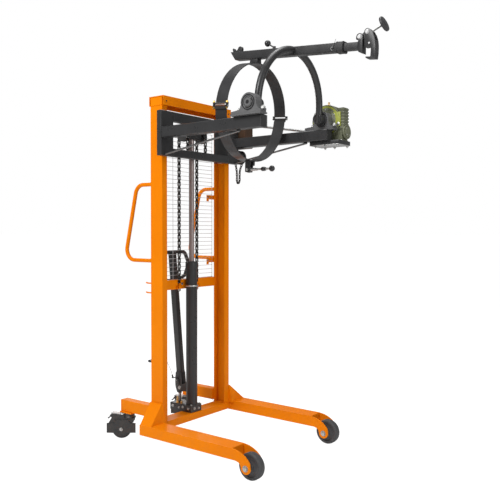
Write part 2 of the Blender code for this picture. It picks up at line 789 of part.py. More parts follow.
def front_wheel(side, frame, mat):
    """A load wheel with rounded tread and raised hub."""
    half = WHEEL_W / 2
    hub = WHEEL_HUB_W / 2
    bore = AXLE_R + RUN
    profile = [(bore, hub), (WHEEL_HUB_R, hub), (WHEEL_HUB_R + 0.002, half - 0.006), (0.052, half - 0.006),
               (0.055, half), (WHEEL_R - 0.007, half), (WHEEL_R, half - 0.008), (WHEEL_R, 0.008 - half),
               (WHEEL_R - 0.007, -half), (0.055, -half), (0.052, 0.006 - half), (WHEEL_HUB_R + 0.002, 0.006 - half),
               (WHEEL_HUB_R, -hub), (bore, -hub)]
    at = (WHEEL_X, side * (LEG_IN + LEG_OUT) / 2, WHEEL_R)
    return lathe("front_wheel_" + side_name(side), profile, at, "Y", frame, mat, FINE, closed=True)


def caster_fork(side, frame, mat):
    """The swivel fork of a caster, drawn along its own heading: race, crown, cheeks and foot guard."""
    top = OUTRIGGER_LOW - CASTER_PAD_T - GAP
    crown = CASTER_CROWN_Z
    x = -CASTER_TRAIL
    half = CASTER_FORK_IN + CASTER_FORK_T
    fork = rod("caster_fork_" + side_name(side), (0.0, 0.0, crown - 0.004), (0.0, 0.0, top), CASTER_RACE_R,
               frame, mat, FINE)
    join(fork, box("crown", (x - 0.031, 0.037), (-half + 0.001, half - 0.001), (crown - 0.006, crown)))
    cheek = [(x - 0.030, crown - 0.003), (0.034, crown - 0.003), (0.028, 0.110), (0.008, 0.085), (-0.022, 0.055),
             *arc((x, CASTER_R), 0.020, 325.0, 190.0, 5), (x - 0.030, 0.100)]
    for turn_side in (-1, 1):
        low, high = pair(turn_side, CASTER_FORK_IN, half)
        join(fork, plate("cheek", "XZ", cheek, low, high))
        low, high = pair(turn_side, BRAKE_HALF + 0.0008, BRAKE_HALF + 0.0038)
        join(fork, box("brake_lug", (BRAKE_X - 0.006, -CASTER_RACE_R + 0.006), (low, high),
                       (crown - 0.0015, BRAKE_Z + 0.006)))
    join(fork, rod("axle", (x, -half - 0.006, CASTER_R), (x, half + 0.006, CASTER_R), 0.006, sides=12))
    reach = BRAKE_HALF + 0.0025
    join(fork, rod("brake_pin", (BRAKE_X, -reach, BRAKE_Z), (BRAKE_X, reach, BRAKE_Z), BRAKE_PIN_R, sides=8))
    bump_drop = CASTER_R - GUARD_LOW + 0.001
    bump_r = math.hypot(GUARD_BUMP, bump_drop)
    bump = math.degrees(math.asin(bump_drop / bump_r))
    guard = [(x - GUARD_HALF, GUARD_LOW), *arc((x, CASTER_R), bump_r, 180.0 + bump, 360.0 - bump, 7),
             (x + GUARD_HALF, GUARD_LOW + 0.0004), (x + GUARD_HALF, GUARD_HIGH), (x + 0.060, GUARD_HIGH + 0.001),
             (x + 0.045, 0.128), (x - 0.042, 0.128), (x - 0.056, GUARD_HIGH + 0.002),
             (x - GUARD_HALF, GUARD_HIGH + 0.0005)]
    join(fork, plate("foot_guard", "XZ", guard, -half - 0.0032, -half + 0.001))
    return fork


def caster_wheel(side, frame, mat):
    """The wheel of a caster."""
    half = CASTER_W / 2
    hub = CASTER_FORK_IN - 0.0015
    bore = 0.006 + RUN
    profile = [(bore, hub), (0.018, hub), (0.020, half - 0.003), (0.046, half), (CASTER_R - 0.006, half),
               (CASTER_R, half - 0.007), (CASTER_R, 0.007 - half), (CASTER_R - 0.006, -half), (0.046, -half),
               (0.020, 0.003 - half), (0.018, -hub), (bore, -hub)]
    at = (-CASTER_TRAIL, 0.0, CASTER_R)
    return lathe("caster_wheel_" + side_name(side), profile, at, "Y", frame, mat, FINE, closed=True)


def caster_brake(side, frame, mat):
    """The pedal that locks a caster."""
    tip = Vector((BRAKE_TIP[0] - BRAKE_X, BRAKE_TIP[1] - BRAKE_Z)).normalized()
    across = Vector((-tip.y, tip.x)) * (BRAKE_T / 2)
    a = Vector((BRAKE_X, BRAKE_Z))
    b = Vector(BRAKE_TIP)
    shape = [tuple(a + across), tuple(b + across), tuple(b - across), tuple(a - across)]
    pedal = plate("caster_brake_" + side_name(side), "XZ", shape, -BRAKE_HALF, BRAKE_HALF, frame, mat)
    join(pedal, rod("eye", (BRAKE_X, -BRAKE_HALF + 0.0004, BRAKE_Z), (BRAKE_X, BRAKE_HALF - 0.0004, BRAKE_Z), 0.0055,
                    sides=12))
    cut(pedal, rod("eye_bore", (BRAKE_X, -0.05, BRAKE_Z), (BRAKE_X, 0.05, BRAKE_Z), BRAKE_PIN_R + RUN, sides=8))
    return pedal


# Carriage


def carriage_post(side, frame, mat):
    """A post of the carriage with its side plate and roller pins inside the upright."""
    post = box("carriage_post_" + side_name(side), (CAR_REAR, CAR_FRONT), pair(side, CAR_IN, CAR_OUT),
               (CAR_LOW, CAR_HIGH), frame, mat, 0.003)
    join(post, box("side_plate", (SIDE_PLATE_REAR, CAR_REAR + 0.006), pair(side, CAR_IN + 0.0005, CAR_IN + SIDE_PLATE_T),
                   (CAR_LOW + 0.006, CAR_HIGH - 0.006)))
    low, high = pair(side, CAR_IN + 0.002, ROLLER_Y + ROLLER_W / 2 + 0.003)
    for z in ROLLER_Z:
        join(post, rod("roller_pin", (ROLLER_X, low, z), (ROLLER_X, high, z), ROLLER_PIN_R, sides=SMALL))
    return post


def mast_roller(side, level, frame, mat):
    """A steel roller that runs inside an upright."""
    half = ROLLER_W / 2
    bore = ROLLER_PIN_R + RUN
    profile = [(bore, half), (ROLLER_R - 0.002, half), (ROLLER_R, half - 0.002), (ROLLER_R, 0.002 - half),
               (ROLLER_R - 0.002, -half), (bore, -half)]
    name = "mast_roller_" + side_name(side) + ("_low", "_high")[level]
    return lathe(name, profile, (ROLLER_X, side * ROLLER_Y, ROLLER_Z[level]), "Y", frame, mat, FINE, closed=True)


def carriage_bar(name, low, high, frame, mat):
    """A cross bar of the carriage."""
    half = CAR_IN - GAP
    return box(name, (CAR_REAR, CAR_FRONT), (-half, half), (low, high), frame, mat, 0.003)


def low_bar(frame, mat):
    """The lower cross bar, with the lugs that hang on the lift chains."""
    high = CAR_LOW + CAR_LOW_BAR
    bar = carriage_bar("carriage_low_bar", CAR_LOW, high, frame, mat)
    for side in (-1, 1):
        y = side * CHAIN_Y
        join(bar, box("chain_lug", (CHAIN_X_IN - 0.009, CAR_REAR + 0.004), (y - 0.013, y + 0.013), (high - 0.022, high - 0.004)))
    return bar


def arm(side, frame, mat):
    """A carrying arm with a closed front end."""
    return box("arm_" + side_name(side), (CAR_FRONT + GAP, ARM_FRONT), pair(side, ARM_IN, ARM_OUT),
               (ARM_LOW, ARM_HIGH), frame, mat, 0.004)


def brace(side, frame, mat):
    """The thin stay from the foot of a post to the underside of an arm."""
    a = Vector((CAR_FRONT + 0.0065, side * BRACE_Y, CAR_LOW + 0.008))
    b = Vector((BRACE_END_X, side * BRACE_Y, ARM_LOW - BRACE_R - 0.0005))
    return rod("brace_" + side_name(side), a, b, BRACE_R, frame, mat, 12)


def bearing(side, frame, mat):
    """A pillow block on its packing plate."""
    y = pair(side, BEARING_Y - BEARING_W / 2, BEARING_Y + BEARING_W / 2)
    base = ARM_HIGH + GAP
    name = "bearing_" + side_name(side)
    top = base + BEARING_PLATE_T + BEARING_FOOT_T
    body = box(name, (BEARING_PLATE_X0, BEARING_PLATE_X1), y, (base, base + BEARING_PLATE_T), frame, mat)
    foot_x = (BEARING_PLATE_X0 + 0.004, BEARING_PLATE_X1 - 0.004)
    shape = [(foot_x[0], base + 0.004), (foot_x[1], base + 0.004), (foot_x[1], top - 0.006), (AXIS_X + 0.062, top),
             *arc((AXIS_X, AXIS_Z), BEARING_R, -12.0, 192.0, 16), (AXIS_X - 0.062, top), (foot_x[0], top - 0.006)]
    inner = 0.004
    join(body, plate("housing", "XZ", shape, y[0] + inner, y[1] - inner))
    ring_out = 0.036
    join(body, rod("insert", (AXIS_X, y[0] + 0.001, AXIS_Z), (AXIS_X, y[1] - 0.001, AXIS_Z), ring_out, sides=FINE))
    cut(body, rod("bore", (AXIS_X, y[0] - 0.01, AXIS_Z), (AXIS_X, y[1] + 0.01, AXIS_Z), SHAFT_R + RUN, sides=ROUND))
    return body


def gearbox(frame, mat):
    """The worm gearbox that turns the clamp: wheel housing, worm housing, feet and base plate."""
    drum = rod("gearbox", (AXIS_X, GEAR_Y0, AXIS_Z), (AXIS_X, GEAR_Y1, AXIS_Z), GEAR_R, frame, mat, ROUND)
    join(drum, box("ribbed_front", (AXIS_X + 0.050, GEAR_RIB_X), (GEAR_Y0 + 0.006, GEAR_Y1 - 0.006),
                   (AXIS_Z - 0.060, AXIS_Z + 0.075)))
    join(drum, rod("worm_tube", (WORM_REAR, WORM_Y, WORM_Z), (WORM_FRONT, WORM_Y, WORM_Z), WORM_R, sides=FINE))
    join(drum, box("feet", (GEAR_PLATE_X0 + 0.012, GEAR_PLATE_X1 - 0.012), (GEAR_Y0 + 0.003, GEAR_Y1 + 0.003),
                   (GEAR_PLATE_LOW + 0.004, WORM_Z + 0.010)))
    join(drum, box("plate", (GEAR_PLATE_X0, GEAR_PLATE_X1), (GEAR_PLATE_Y0, GEAR_PLATE_Y1),
                   (GEAR_PLATE_LOW, ARM_LOW - GAP)))
    join(drum, rod("boss", (AXIS_X, GEAR_Y0 + 0.02, AXIS_Z), (AXIS_X, GEAR_Y1 + 0.006, AXIS_Z), 0.048, sides=FINE))
    cut(drum, rod("bore", (AXIS_X, GEAR_Y0 - 0.1, AXIS_Z), (AXIS_X, GEAR_Y1 + 0.1, AXIS_Z), SHAFT_R + RUN, sides=ROUND))
    return drum


def chain_box(frame, mat):
    """The bevel box on the carriage's left side, with the hanger of the hand chain wheel."""
    y0 = CAR_OUT + GAP
    body = box("chain_box", (BOX_X0, BOX_X1), (y0, BOX_Y1), (BOX_LOW, BOX_HIGH), frame, mat, 0.004)
    join(body, box("hanger", (CHAIN_WHEEL_X - 0.022, CHAIN_WHEEL_X + 0.022), (y0, y0 + 0.008),
                   (CHAIN_WHEEL_Z - 0.022, BOX_LOW + 0.01)))
    join(body, rod("stub", (CHAIN_WHEEL_X, y0 + 0.002, CHAIN_WHEEL_Z), (CHAIN_WHEEL_X, CHAIN_WHEEL_Y + 0.020, CHAIN_WHEEL_Z),
                   0.008, sides=SMALL))
    return body


def chain_wheel(frame, mat):
    """The hand chain wheel with its V groove."""
    r = CHAIN_WHEEL_R
    bore = 0.008 + RUN
    profile = [(bore, 0.016), (r - 0.002, 0.016), (r, 0.013), (r - 0.013, 0.0), (r, -0.013), (r - 0.002, -0.016),
               (bore, -0.016)]
    at = (CHAIN_WHEEL_X, CHAIN_WHEEL_Y, CHAIN_WHEEL_Z)
    return lathe("chain_wheel", profile, at, "Y", frame, mat, FINE, closed=True)


def hand_chain(frame, mat):
    """The short endless chain that hangs over the chain wheel."""
    r = HAND_CHAIN_R
    top = arc((CHAIN_WHEEL_X, CHAIN_WHEEL_Z), r, 0.0, 180.0, 10)
    low = HAND_CHAIN_LOW
    x0, x1 = CHAIN_WHEEL_X - r, CHAIN_WHEEL_X + r
    bottom_left = [(x0 + 0.004, low + 0.060), (CHAIN_WHEEL_X - 0.026, low + 0.016), (CHAIN_WHEEL_X - 0.010, low + 0.004)]
    bottom_right = [(CHAIN_WHEEL_X + 0.010, low + 0.004), (CHAIN_WHEEL_X + 0.026, low + 0.016), (x1 - 0.004, low + 0.060)]
    path = [(x, CHAIN_WHEEL_Y, z) for x, z in (*top, *bottom_left, *bottom_right)]
    return tube("hand_chain", path, 0.004, frame, mat, 0, closed=True)


def drive_shaft(frame, mat):
    """The shaft from the bevel box to the worm, with a joint at each end."""
    a = Vector((BOX_X1 + DRIVE_START, DRIVE_Y, DRIVE_Z0))
    b = Vector((WORM_REAR - 0.0030, DRIVE_Y, DRIVE_Z1))
    shaft = rod("drive_shaft", a, b, DRIVE_R, frame, mat, 12)
    along = (b - a).normalized()
    for start, end in ((a + along * 0.0005, a + along * 0.030), (b - along * 0.030, b - along * 0.0005)):
        join(shaft, rod("joint", start, end, 0.0125, sides=12))
    return shaft


# Clamp


def clamp_yoke(frame, mat):
    """The arch over the drum with its two shafts, and the square tube that lies on top of it."""
    half = TUBE_SIDE / 2
    bore = TUBE_BORE / 2
    side_shape = [(TUBE_REAR_HIGH, TUBE_W + half), (TUBE_REAR_LOW, TUBE_W - half), (TUBE_FRONT, TUBE_W - half),
                  (TUBE_FRONT, TUBE_W + half)]
    yoke = plate("clamp_yoke", "XZ", side_shape, -half, half, frame, mat)
    bevel(yoke, 0.003)
    crown = arc((0.0, ARCH_LEG), ARCH_Y, 0.0, 180.0, 20)
    path = [(0.0, ARCH_Y, -0.030), *[(0.0, y, w) for y, w in crown], (0.0, -ARCH_Y, -0.030)]
    join(yoke, tube("arch", path, ARCH_R, sides_quarter=1))
    reach_right = BEARING_Y + BEARING_W / 2 + 0.004
    join(yoke, rod("shaft_right", (0.0, -ARCH_Y + 0.004, 0.0), (0.0, -reach_right, 0.0), SHAFT_R, sides=ROUND))
    join(yoke, rod("shaft_left", (0.0, ARCH_Y - 0.004, 0.0), (0.0, GEAR_Y1 + 0.009, 0.0), SHAFT_R, sides=ROUND))
    collar = COLLAR_SIDE / 2
    join(yoke, box("collar", (COLLAR_U0, COLLAR_U1), (-collar, collar), (TUBE_W - collar, TUBE_W + collar)))
    join(yoke, box("ring_seat", (RING_U - 0.030, RING_U + 0.030), (-0.020, 0.020),
                   (RING_R + RING_T / 2 + GAP, TUBE_W - half + 0.003)))
    cut(yoke, box("tube_bore", (TUBE_REAR_HIGH - 0.05, COLLAR_U1 + 0.05), (-bore, bore), (TUBE_W - bore, TUBE_W + bore)))
    return yoke


def hook_bracket(yoke):
    """The two upturned hooks on the rear end of the square tube."""
    top = TUBE_W + TUBE_SIDE / 2
    shape = [(-0.452, top - 0.004), (-0.406, top - 0.004), (-0.400, top + 0.020), (-0.404, top + 0.030),
             (-0.416, top + 0.026), (-0.420, top + 0.010), (-0.436, top + 0.008), (-0.442, top + 0.030),
             (-0.450, top + 0.034), (-0.456, top + 0.012)]
    for side in (-1, 1):
        low, high = pair(side, 0.013, 0.018)
        join(yoke, plate("hook", "XZ", shape, low, high))


def band(name, a0, a1, steps, frame, mat):
    """A piece of the drum band between two angles, measured from +Y towards up."""
    outer = arc((0.0, 0.0), RING_R + RING_T / 2, a0, a1, steps)
    inner = arc((0.0, 0.0), RING_R - RING_T / 2, a1, a0, steps)
    low, high = RING_U - RING_WIDE / 2, RING_U + RING_WIDE / 2
    return plate(name, "YZ", [*outer, *inner], low, high, frame, mat)


def ring_upper(frame, mat):
    """The upper half of the drum band, with the lugs and the door pins."""
    edge = math.degrees(math.asin(RING_SPLIT / RING_R))
    half = band("ring_upper", edge, 180.0 - edge, 26, frame, mat)
    for side in (-1, 1):
        y = pair(side, RING_R - 0.002, LUG_OUT)
        join(half, box("lug", (RING_U - LUG_LONG / 2, RING_U + LUG_LONG / 2), y, (RING_SPLIT, RING_SPLIT + LUG_T)))
        for end in (-1, 1):
            u_in = RING_U + end * (LUG_LONG / 2 - 0.011)
            join(half, box("knuckle", tuple(sorted((u_in, RING_U + end * LUG_LONG / 2))),
                           pair(side, DOOR_Y - 0.0055, DOOR_Y + 0.0055), (-0.006, RING_SPLIT + 0.002)))
        join(half, rod("door_pin", (RING_U - LUG_LONG / 2 + 0.002, side * DOOR_Y, 0.0),
                       (RING_U + LUG_LONG / 2 - 0.002, side * DOOR_Y, 0.0), 0.003, sides=12))
    return half


def ring_door(side, frame, mat):
    """A lower quarter of the drum band on its hinge pin."""
    edge = math.degrees(math.asin(RING_SPLIT / RING_R))
    meet = math.degrees(math.asin(0.0015 / RING_R))
    if side > 0:
        a0, a1 = -90.0 + meet, -edge
    else:
        a0, a1 = 180.0 + edge, 270.0 - meet
    door = band("ring_door_" + side_name(side), a0, a1, 13, frame, mat)
    inner = LUG_LONG / 2 - 0.0125
    y = pair(side, RING_R - 0.002, DOOR_Y + 0.0050)
    join(door, box("leaf", (RING_U - RING_WIDE / 2 + 0.001, RING_U + RING_WIDE / 2 - 0.001), y, (-RING_SPLIT - LUG_T, -RING_SPLIT)))
    join(door, box("web", (RING_U - inner, RING_U + inner), pair(side, DOOR_Y - 0.0048, DOOR_Y + 0.0048),
                   (-RING_SPLIT - 0.002, 0.0)))
    join(door, rod("barrel", (RING_U - inner, side * DOOR_Y, 0.0), (RING_U + inner, side * DOOR_Y, 0.0), 0.0062, sides=12))
    cut(door, rod("pin_bore", (RING_U - 0.1, side * DOOR_Y, 0.0), (RING_U + 0.1, side * DOOR_Y, 0.0), 0.0034, sides=12))
    if side < 0:
        lug = [(LATCH_U - 0.016, LATCH_W - 0.016), (LATCH_U + 0.016, LATCH_W - 0.016), (LATCH_U + 0.022, -0.286),
               (LATCH_U - 0.022, -0.286)]
        for low, high in ((-0.0345, -0.0305), (-0.0065, -0.0025)):
            join(door, plate("latch_ear", "XZ", lug, low, high))
        join(door, rod("latch_pin", (LATCH_U, -0.037, LATCH_W), (LATCH_U, -0.0022, LATCH_W), 0.006, sides=12))
    else:
        join(door, box("catch", (LATCH_U - 0.016, LATCH_U + 0.016), (0.004, 0.016), (LATCH_W + 0.026, -0.286)))
    return door


def latch_lever(frame, mat):
    """The ratchet drum of the latch with its ball-ended lever."""
    y0, y1 = -0.0295, -0.0075
    lever = rod("latch_lever", (LATCH_U, y0, LATCH_W), (LATCH_U, y1, LATCH_W), LATCH_R, frame, mat, SMALL)
    y = (y0 + y1) / 2
    foot = Vector((LATCH_U + 0.010, y, LATCH_W + 0.001))
    tip = Vector((LATCH_TIP_U, y, LATCH_TIP_W))
    join(lever, rod("stem", foot, tip, 0.007, sides=12, tip=0.0055))
    join(lever, ball("grip", tip, 0.0155, sides=12))
    cut(lever, rod("bore", (LATCH_U, -0.1, LATCH_W), (LATCH_U, 0.1, LATCH_W), 0.0064, sides=12))
    return lever


def inner_tube(frame, mat):
    """The telescopic tube with the fixed jaw and the fork that carries the hook."""
    half = INNER_SIDE / 2
    bar = box("inner_tube", (INNER_REAR, INNER_FRONT), (-half, half), (TUBE_W - half, TUBE_W + half), frame, mat, 0.003)
    jaw = [(JAW_U0, 0.380), (JAW_U0, TUBE_W - half - 0.002), (JAW_U0 + 0.014, 0.297), (JAW_U1 - 0.006, 0.293),
           (JAW_U1 - 0.009, 0.336), (JAW_U1 - 0.007, 0.380), (0.4860, 0.404),
           *arc((HOOK_U, HOOK_W), 0.0155, -20.0, 120.0, 6), (0.4480, 0.408),
           *arc((0.4345, 0.390), 0.0125, 70.0, 180.0, 4)]
    join(bar, plate("jaw", "XZ", jaw, -0.022, 0.022))
    cut(bar, box("hook_slot", (HOOK_U - 0.022, HOOK_U + 0.10), (-HOOK_HALF - 0.001, HOOK_HALF + 0.001), (0.386, 0.50)))
    join(bar, rod("hook_pin", (HOOK_U, -0.025, HOOK_W), (HOOK_U, 0.025, HOOK_W), 0.006, sides=12))
    return bar


def chime_hook(frame, mat):
    """The hook that closes over the rim of the drum."""
    shape = [*arc((HOOK_U, HOOK_W), 0.0165, 120.0, 240.0, 6), (0.4780, 0.384), (0.4790, 0.335), (0.5080, 0.334),
             (0.5130, 0.284), (0.4760, 0.281), (0.4760, 0.272), (0.5310, 0.268), (0.5420, 0.310), (0.5440, 0.347),
             (0.5380, 0.380), (0.5260, 0.404), (0.5080, 0.422), (0.4900, 0.431)]
    hook = plate("chime_hook", "XZ", shape, -HOOK_HALF, HOOK_HALF, frame, mat)
    cut(hook, rod("pin_bore", (HOOK_U, -0.05, HOOK_W), (HOOK_U, 0.05, HOOK_W), 0.006 + RUN, sides=12))
    a = Vector((SCREW_FOOT[0], 0.0, SCREW_FOOT[1]))
    b = Vector((SCREW_HEAD[0], 0.0, SCREW_HEAD[1]))
    cut(hook, rod("screw_bore", a - (b - a).normalized() * 0.001, b, 0.0055 + RUN, sides=12))
    return hook


def hook_screw(frame, mat):
    """The clamping screw of the hook with its round knob."""
    a = Vector((SCREW_FOOT[0], 0.0, SCREW_FOOT[1]))
    b = Vector((SCREW_HEAD[0], 0.0, SCREW_HEAD[1]))
    along = (b - a).normalized()
    screw = rod("hook_screw", a, b, 0.0055, frame, mat, 12)
    join(screw, rod("knob", b - along * 0.007, b + along * 0.007, KNOB_R, sides=FINE))
    join(screw, rod("knob_hub", b - along * 0.016, b + along * 0.010, 0.012, sides=SMALL))
    return screw


def tube_lock_lever(frame, mat):
    """The ball lever that clamps the telescopic tube."""
    u, w = LOCK_BASE
    top = Vector((LOCK_BALL[0], 0.0, LOCK_BALL[1]))
    lever = rod("tube_lock_lever", (u, 0.0, w), (u, 0.0, w + 0.016), 0.010, frame, mat, SMALL)
    join(lever, rod("stem", (u, 0.0, w + 0.009), top, 0.0045, sides=10))
    join(lever, ball("grip", top, LOCK_BALL_R, sides=SMALL))
    return lever


def hydraulics(root, dark, steel, zinc):
    """The lift cylinder, the pump and its lever."""
    hydraulic_unit(root, dark)
    plunger = Frame("plunger_slide", (PLUNGER_X, 0.0, PLUNGER_TOP), root)
    pump_plunger(plunger, steel)
    pump_spring(root, zinc)
    tiller(Frame("tiller_pivot", (TILLER_X, 0.0, TILLER_Z), root), dark)


def rolling_gear(root, rubber, dark, zinc):
    """Front wheels and swivel casters."""
    middle = (LEG_IN + LEG_OUT) / 2
    for side in (-1, 1):
        name = side_name(side)
        front_wheel(side, Frame("front_axle_" + name, (WHEEL_X, side * middle, WHEEL_R), root), rubber)
        turn = (0.0, 0.0, math.radians(CASTER_HEADING))
        swivel = Frame("caster_swivel_" + name, (CASTER_X, side * CASTER_Y, 0.0), root, turn, local=True)
        caster_fork(side, swivel, dark)
        caster_wheel(side, Frame("caster_axle_" + name, (-CASTER_TRAIL, 0.0, CASTER_R), swivel), rubber)
        caster_brake(side, Frame("caster_brake_pin_" + name, (BRAKE_X, 0.0, BRAKE_Z), swivel), zinc)


def lift(root, steel, dark, zinc, chain):
    """The ram, its crosshead and pulleys, and the four runs of lift chain. Returns the ram's frame."""
    ram = Frame("lift_ram", (CYL_X, 0.0, RAM_TOP), root)
    ram_rod(ram, steel)
    crosshead(ram, dark)
    for side in (-1, 1):
        name = side_name(side)
        pulley(side, Frame("pulley_axis_" + name, (PULLEY_X, side * CHAIN_Y, PULLEY_Z), ram), zinc)
        strand("lift_chain_fixed_" + name, CHAIN_X_OUT, side, ANCHOR_TOP + GAP, PULLEY_Z, root, chain)
        strand("lift_chain_moving_" + name, CHAIN_X_IN, side, CAR_LOW + CAR_LOW_BAR - 0.004 + GAP, PULLEY_Z, ram, chain)
    return ram


def carriage_group(ram, dark, cast, green, brown, zinc, chain):
    """The carriage with its rollers, arms, bearings and clamp drive. Returns its frame."""
    carriage = Frame("carriage", (0.0, 0.0, CAR_LOW), ram)
    for side in (-1, 1):
        carriage_post(side, carriage, dark)
        for level in (0, 1):
            at = (ROLLER_X, side * ROLLER_Y, ROLLER_Z[level])
            axis = Frame("roller_axis_" + side_name(side) + ("_low", "_high")[level], at, carriage)
            mast_roller(side, level, axis, zinc)
        arm(side, carriage, dark)
        brace(side, carriage, zinc)
        bearing(side, carriage, cast)
    carriage_bar("carriage_top_bar", CAR_HIGH - CAR_TOP_BAR, CAR_HIGH, carriage, dark)
    low_bar(carriage, dark)
    gearbox(carriage, green)
    chain_box(carriage, brown)
    chain_wheel(Frame("chain_wheel_axis", (CHAIN_WHEEL_X, CHAIN_WHEEL_Y, CHAIN_WHEEL_Z), carriage), dark)
    hand_chain(carriage, chain)
    middle = ((BOX_X1 + WORM_REAR) / 2, DRIVE_Y, (DRIVE_Z0 + DRIVE_Z1) / 2)
    drive_shaft(Frame("drive_axis", middle, carriage), zinc)
    return carriage


def clamp_group(carriage, dark, zinc):
    """The tilting clamp: arch, tube, band and hook."""
    turn = (0.0, math.radians(CLAMP_TILT), 0.0)
    clamp = Frame("clamp_axis", (AXIS_X, 0.0, AXIS_Z), carriage, turn, local=True)
    yoke = clamp_yoke(clamp, dark)
    hook_bracket(yoke)
    ring_upper(clamp, dark)
    tube_lock_lever(Frame("lock_lever_axis", (LOCK_BASE[0], 0.0, LOCK_BASE[1]), clamp), dark)
    slide = Frame("inner_tube_slide", (INNER_FRONT, 0.0, TUBE_W), clamp)
    inner_tube(slide, dark)
    hook = Frame("hook_axis", (HOOK_U, 0.0, HOOK_W), slide)
    chime_hook(hook, dark)
    hook_screw(Frame("hook_screw_axis", (SCREW_FOOT[0], 0.0, SCREW_FOOT[1]), hook), dark)
    doors = {}
    for side in (-1, 1):
        doors[side] = Frame("door_hinge_" + side_name(side), (RING_U, side * DOOR_Y, 0.0), clamp)
        ring_door(side, doors[side], dark)
    latch_lever(Frame("latch_pivot", (LATCH_U, -0.0185, LATCH_W), doors[-1]), dark)


def build():
    """Builds the whole part."""
    start()
    orange = material("orange_paint", (0.80, 0.27, 0.01), 0.35)
    dark = material("dark_grey_paint", (0.055, 0.057, 0.06), 0.4)
    cast = material("cast_grey_paint", (0.17, 0.17, 0.17), 0.5)
    green = material("olive_gearbox_paint", (0.30, 0.33, 0.12), 0.45)
    brown = material("brown_box_paint", (0.09, 0.05, 0.03), 0.5)
    zinc = material("zinc_plate", (0.55, 0.55, 0.52), 0.35, 1.0)
    steel = material("ground_steel", (0.45, 0.40, 0.38), 0.25, 1.0)
    chain = material("oiled_chain", (0.06, 0.055, 0.05), 0.45, 0.6)
    wire = material("grey_wire", (0.45, 0.45, 0.45), 0.4, 0.5)
    rubber = material("dark_rubber", (0.045, 0.045, 0.048), 0.6)
    root = Frame("drum_lifter_root")
    for side in (-1, 1):
        upright(side, root, orange)
        leg(side, root, orange)
        outrigger(side, root, orange)
        push_handle(side, root, orange)
    top_beam(root, orange)
    mid_beam(root, orange)
    base_beam(root, orange)
    mesh_guard(root, wire)
    hydraulics(root, dark, steel, zinc)
    rolling_gear(root, rubber, dark, zinc)
    ram = lift(root, steel, dark, zinc, chain)
    carriage = carriage_group(ram, dark, cast, green, brown, zinc, chain)
    clamp_group(carriage, dark, zinc)


build()
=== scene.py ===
"""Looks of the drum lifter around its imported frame: materials, finer pieces, light and camera.

Lengths are in metres. Pieces are drawn in the mast coordinates of the part (x = 0 is the
front of the uprights, z = 0 the floor) or in the coordinates of the tilting clamp.
"""

import json
import math

import bmesh
import bpy
from mathutils import Matrix, Vector, noise

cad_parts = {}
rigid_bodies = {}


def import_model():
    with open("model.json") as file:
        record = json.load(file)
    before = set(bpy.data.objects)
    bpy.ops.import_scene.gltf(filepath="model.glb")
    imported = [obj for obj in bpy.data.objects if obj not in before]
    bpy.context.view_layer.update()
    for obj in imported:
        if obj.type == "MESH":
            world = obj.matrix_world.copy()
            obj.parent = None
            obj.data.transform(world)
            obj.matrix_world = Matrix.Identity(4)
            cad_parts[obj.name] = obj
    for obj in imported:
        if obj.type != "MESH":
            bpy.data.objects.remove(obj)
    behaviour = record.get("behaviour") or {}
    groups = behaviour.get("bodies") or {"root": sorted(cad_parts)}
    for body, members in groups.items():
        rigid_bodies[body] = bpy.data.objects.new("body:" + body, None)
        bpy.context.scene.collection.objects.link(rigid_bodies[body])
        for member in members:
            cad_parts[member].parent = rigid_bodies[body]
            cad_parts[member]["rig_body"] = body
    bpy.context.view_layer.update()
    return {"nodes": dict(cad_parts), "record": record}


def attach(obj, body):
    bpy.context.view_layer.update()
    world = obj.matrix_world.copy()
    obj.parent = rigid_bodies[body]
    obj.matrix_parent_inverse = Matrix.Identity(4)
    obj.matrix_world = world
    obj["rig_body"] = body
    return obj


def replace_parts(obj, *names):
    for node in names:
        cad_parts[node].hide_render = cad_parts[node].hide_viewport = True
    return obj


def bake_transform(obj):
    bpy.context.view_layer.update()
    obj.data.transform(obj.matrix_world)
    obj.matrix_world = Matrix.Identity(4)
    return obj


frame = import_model()

ORIGIN = (0.45506, 0.01425)
HANDLE_PATH = ((-0.1003, 1.634), (-0.245, 1.634), (-0.357, 1.158), (-0.1003, 1.158))
AXIS = (0.7206, 0.0, 2.0357)
MAST = Matrix.Translation((-ORIGIN[0], -ORIGIN[1], 0.0))
CLAMP = MAST @ Matrix.Translation(AXIS) @ Matrix.Rotation(math.radians(5.0), 4, "Y")


def caster_frame(side):
    """The coordinates of a caster, along its own heading."""
    at = Matrix.Translation((-0.325, side * 0.295, 0.0))
    return MAST @ at @ Matrix.Rotation(math.radians(37.5), 4, "Z")


# Materials


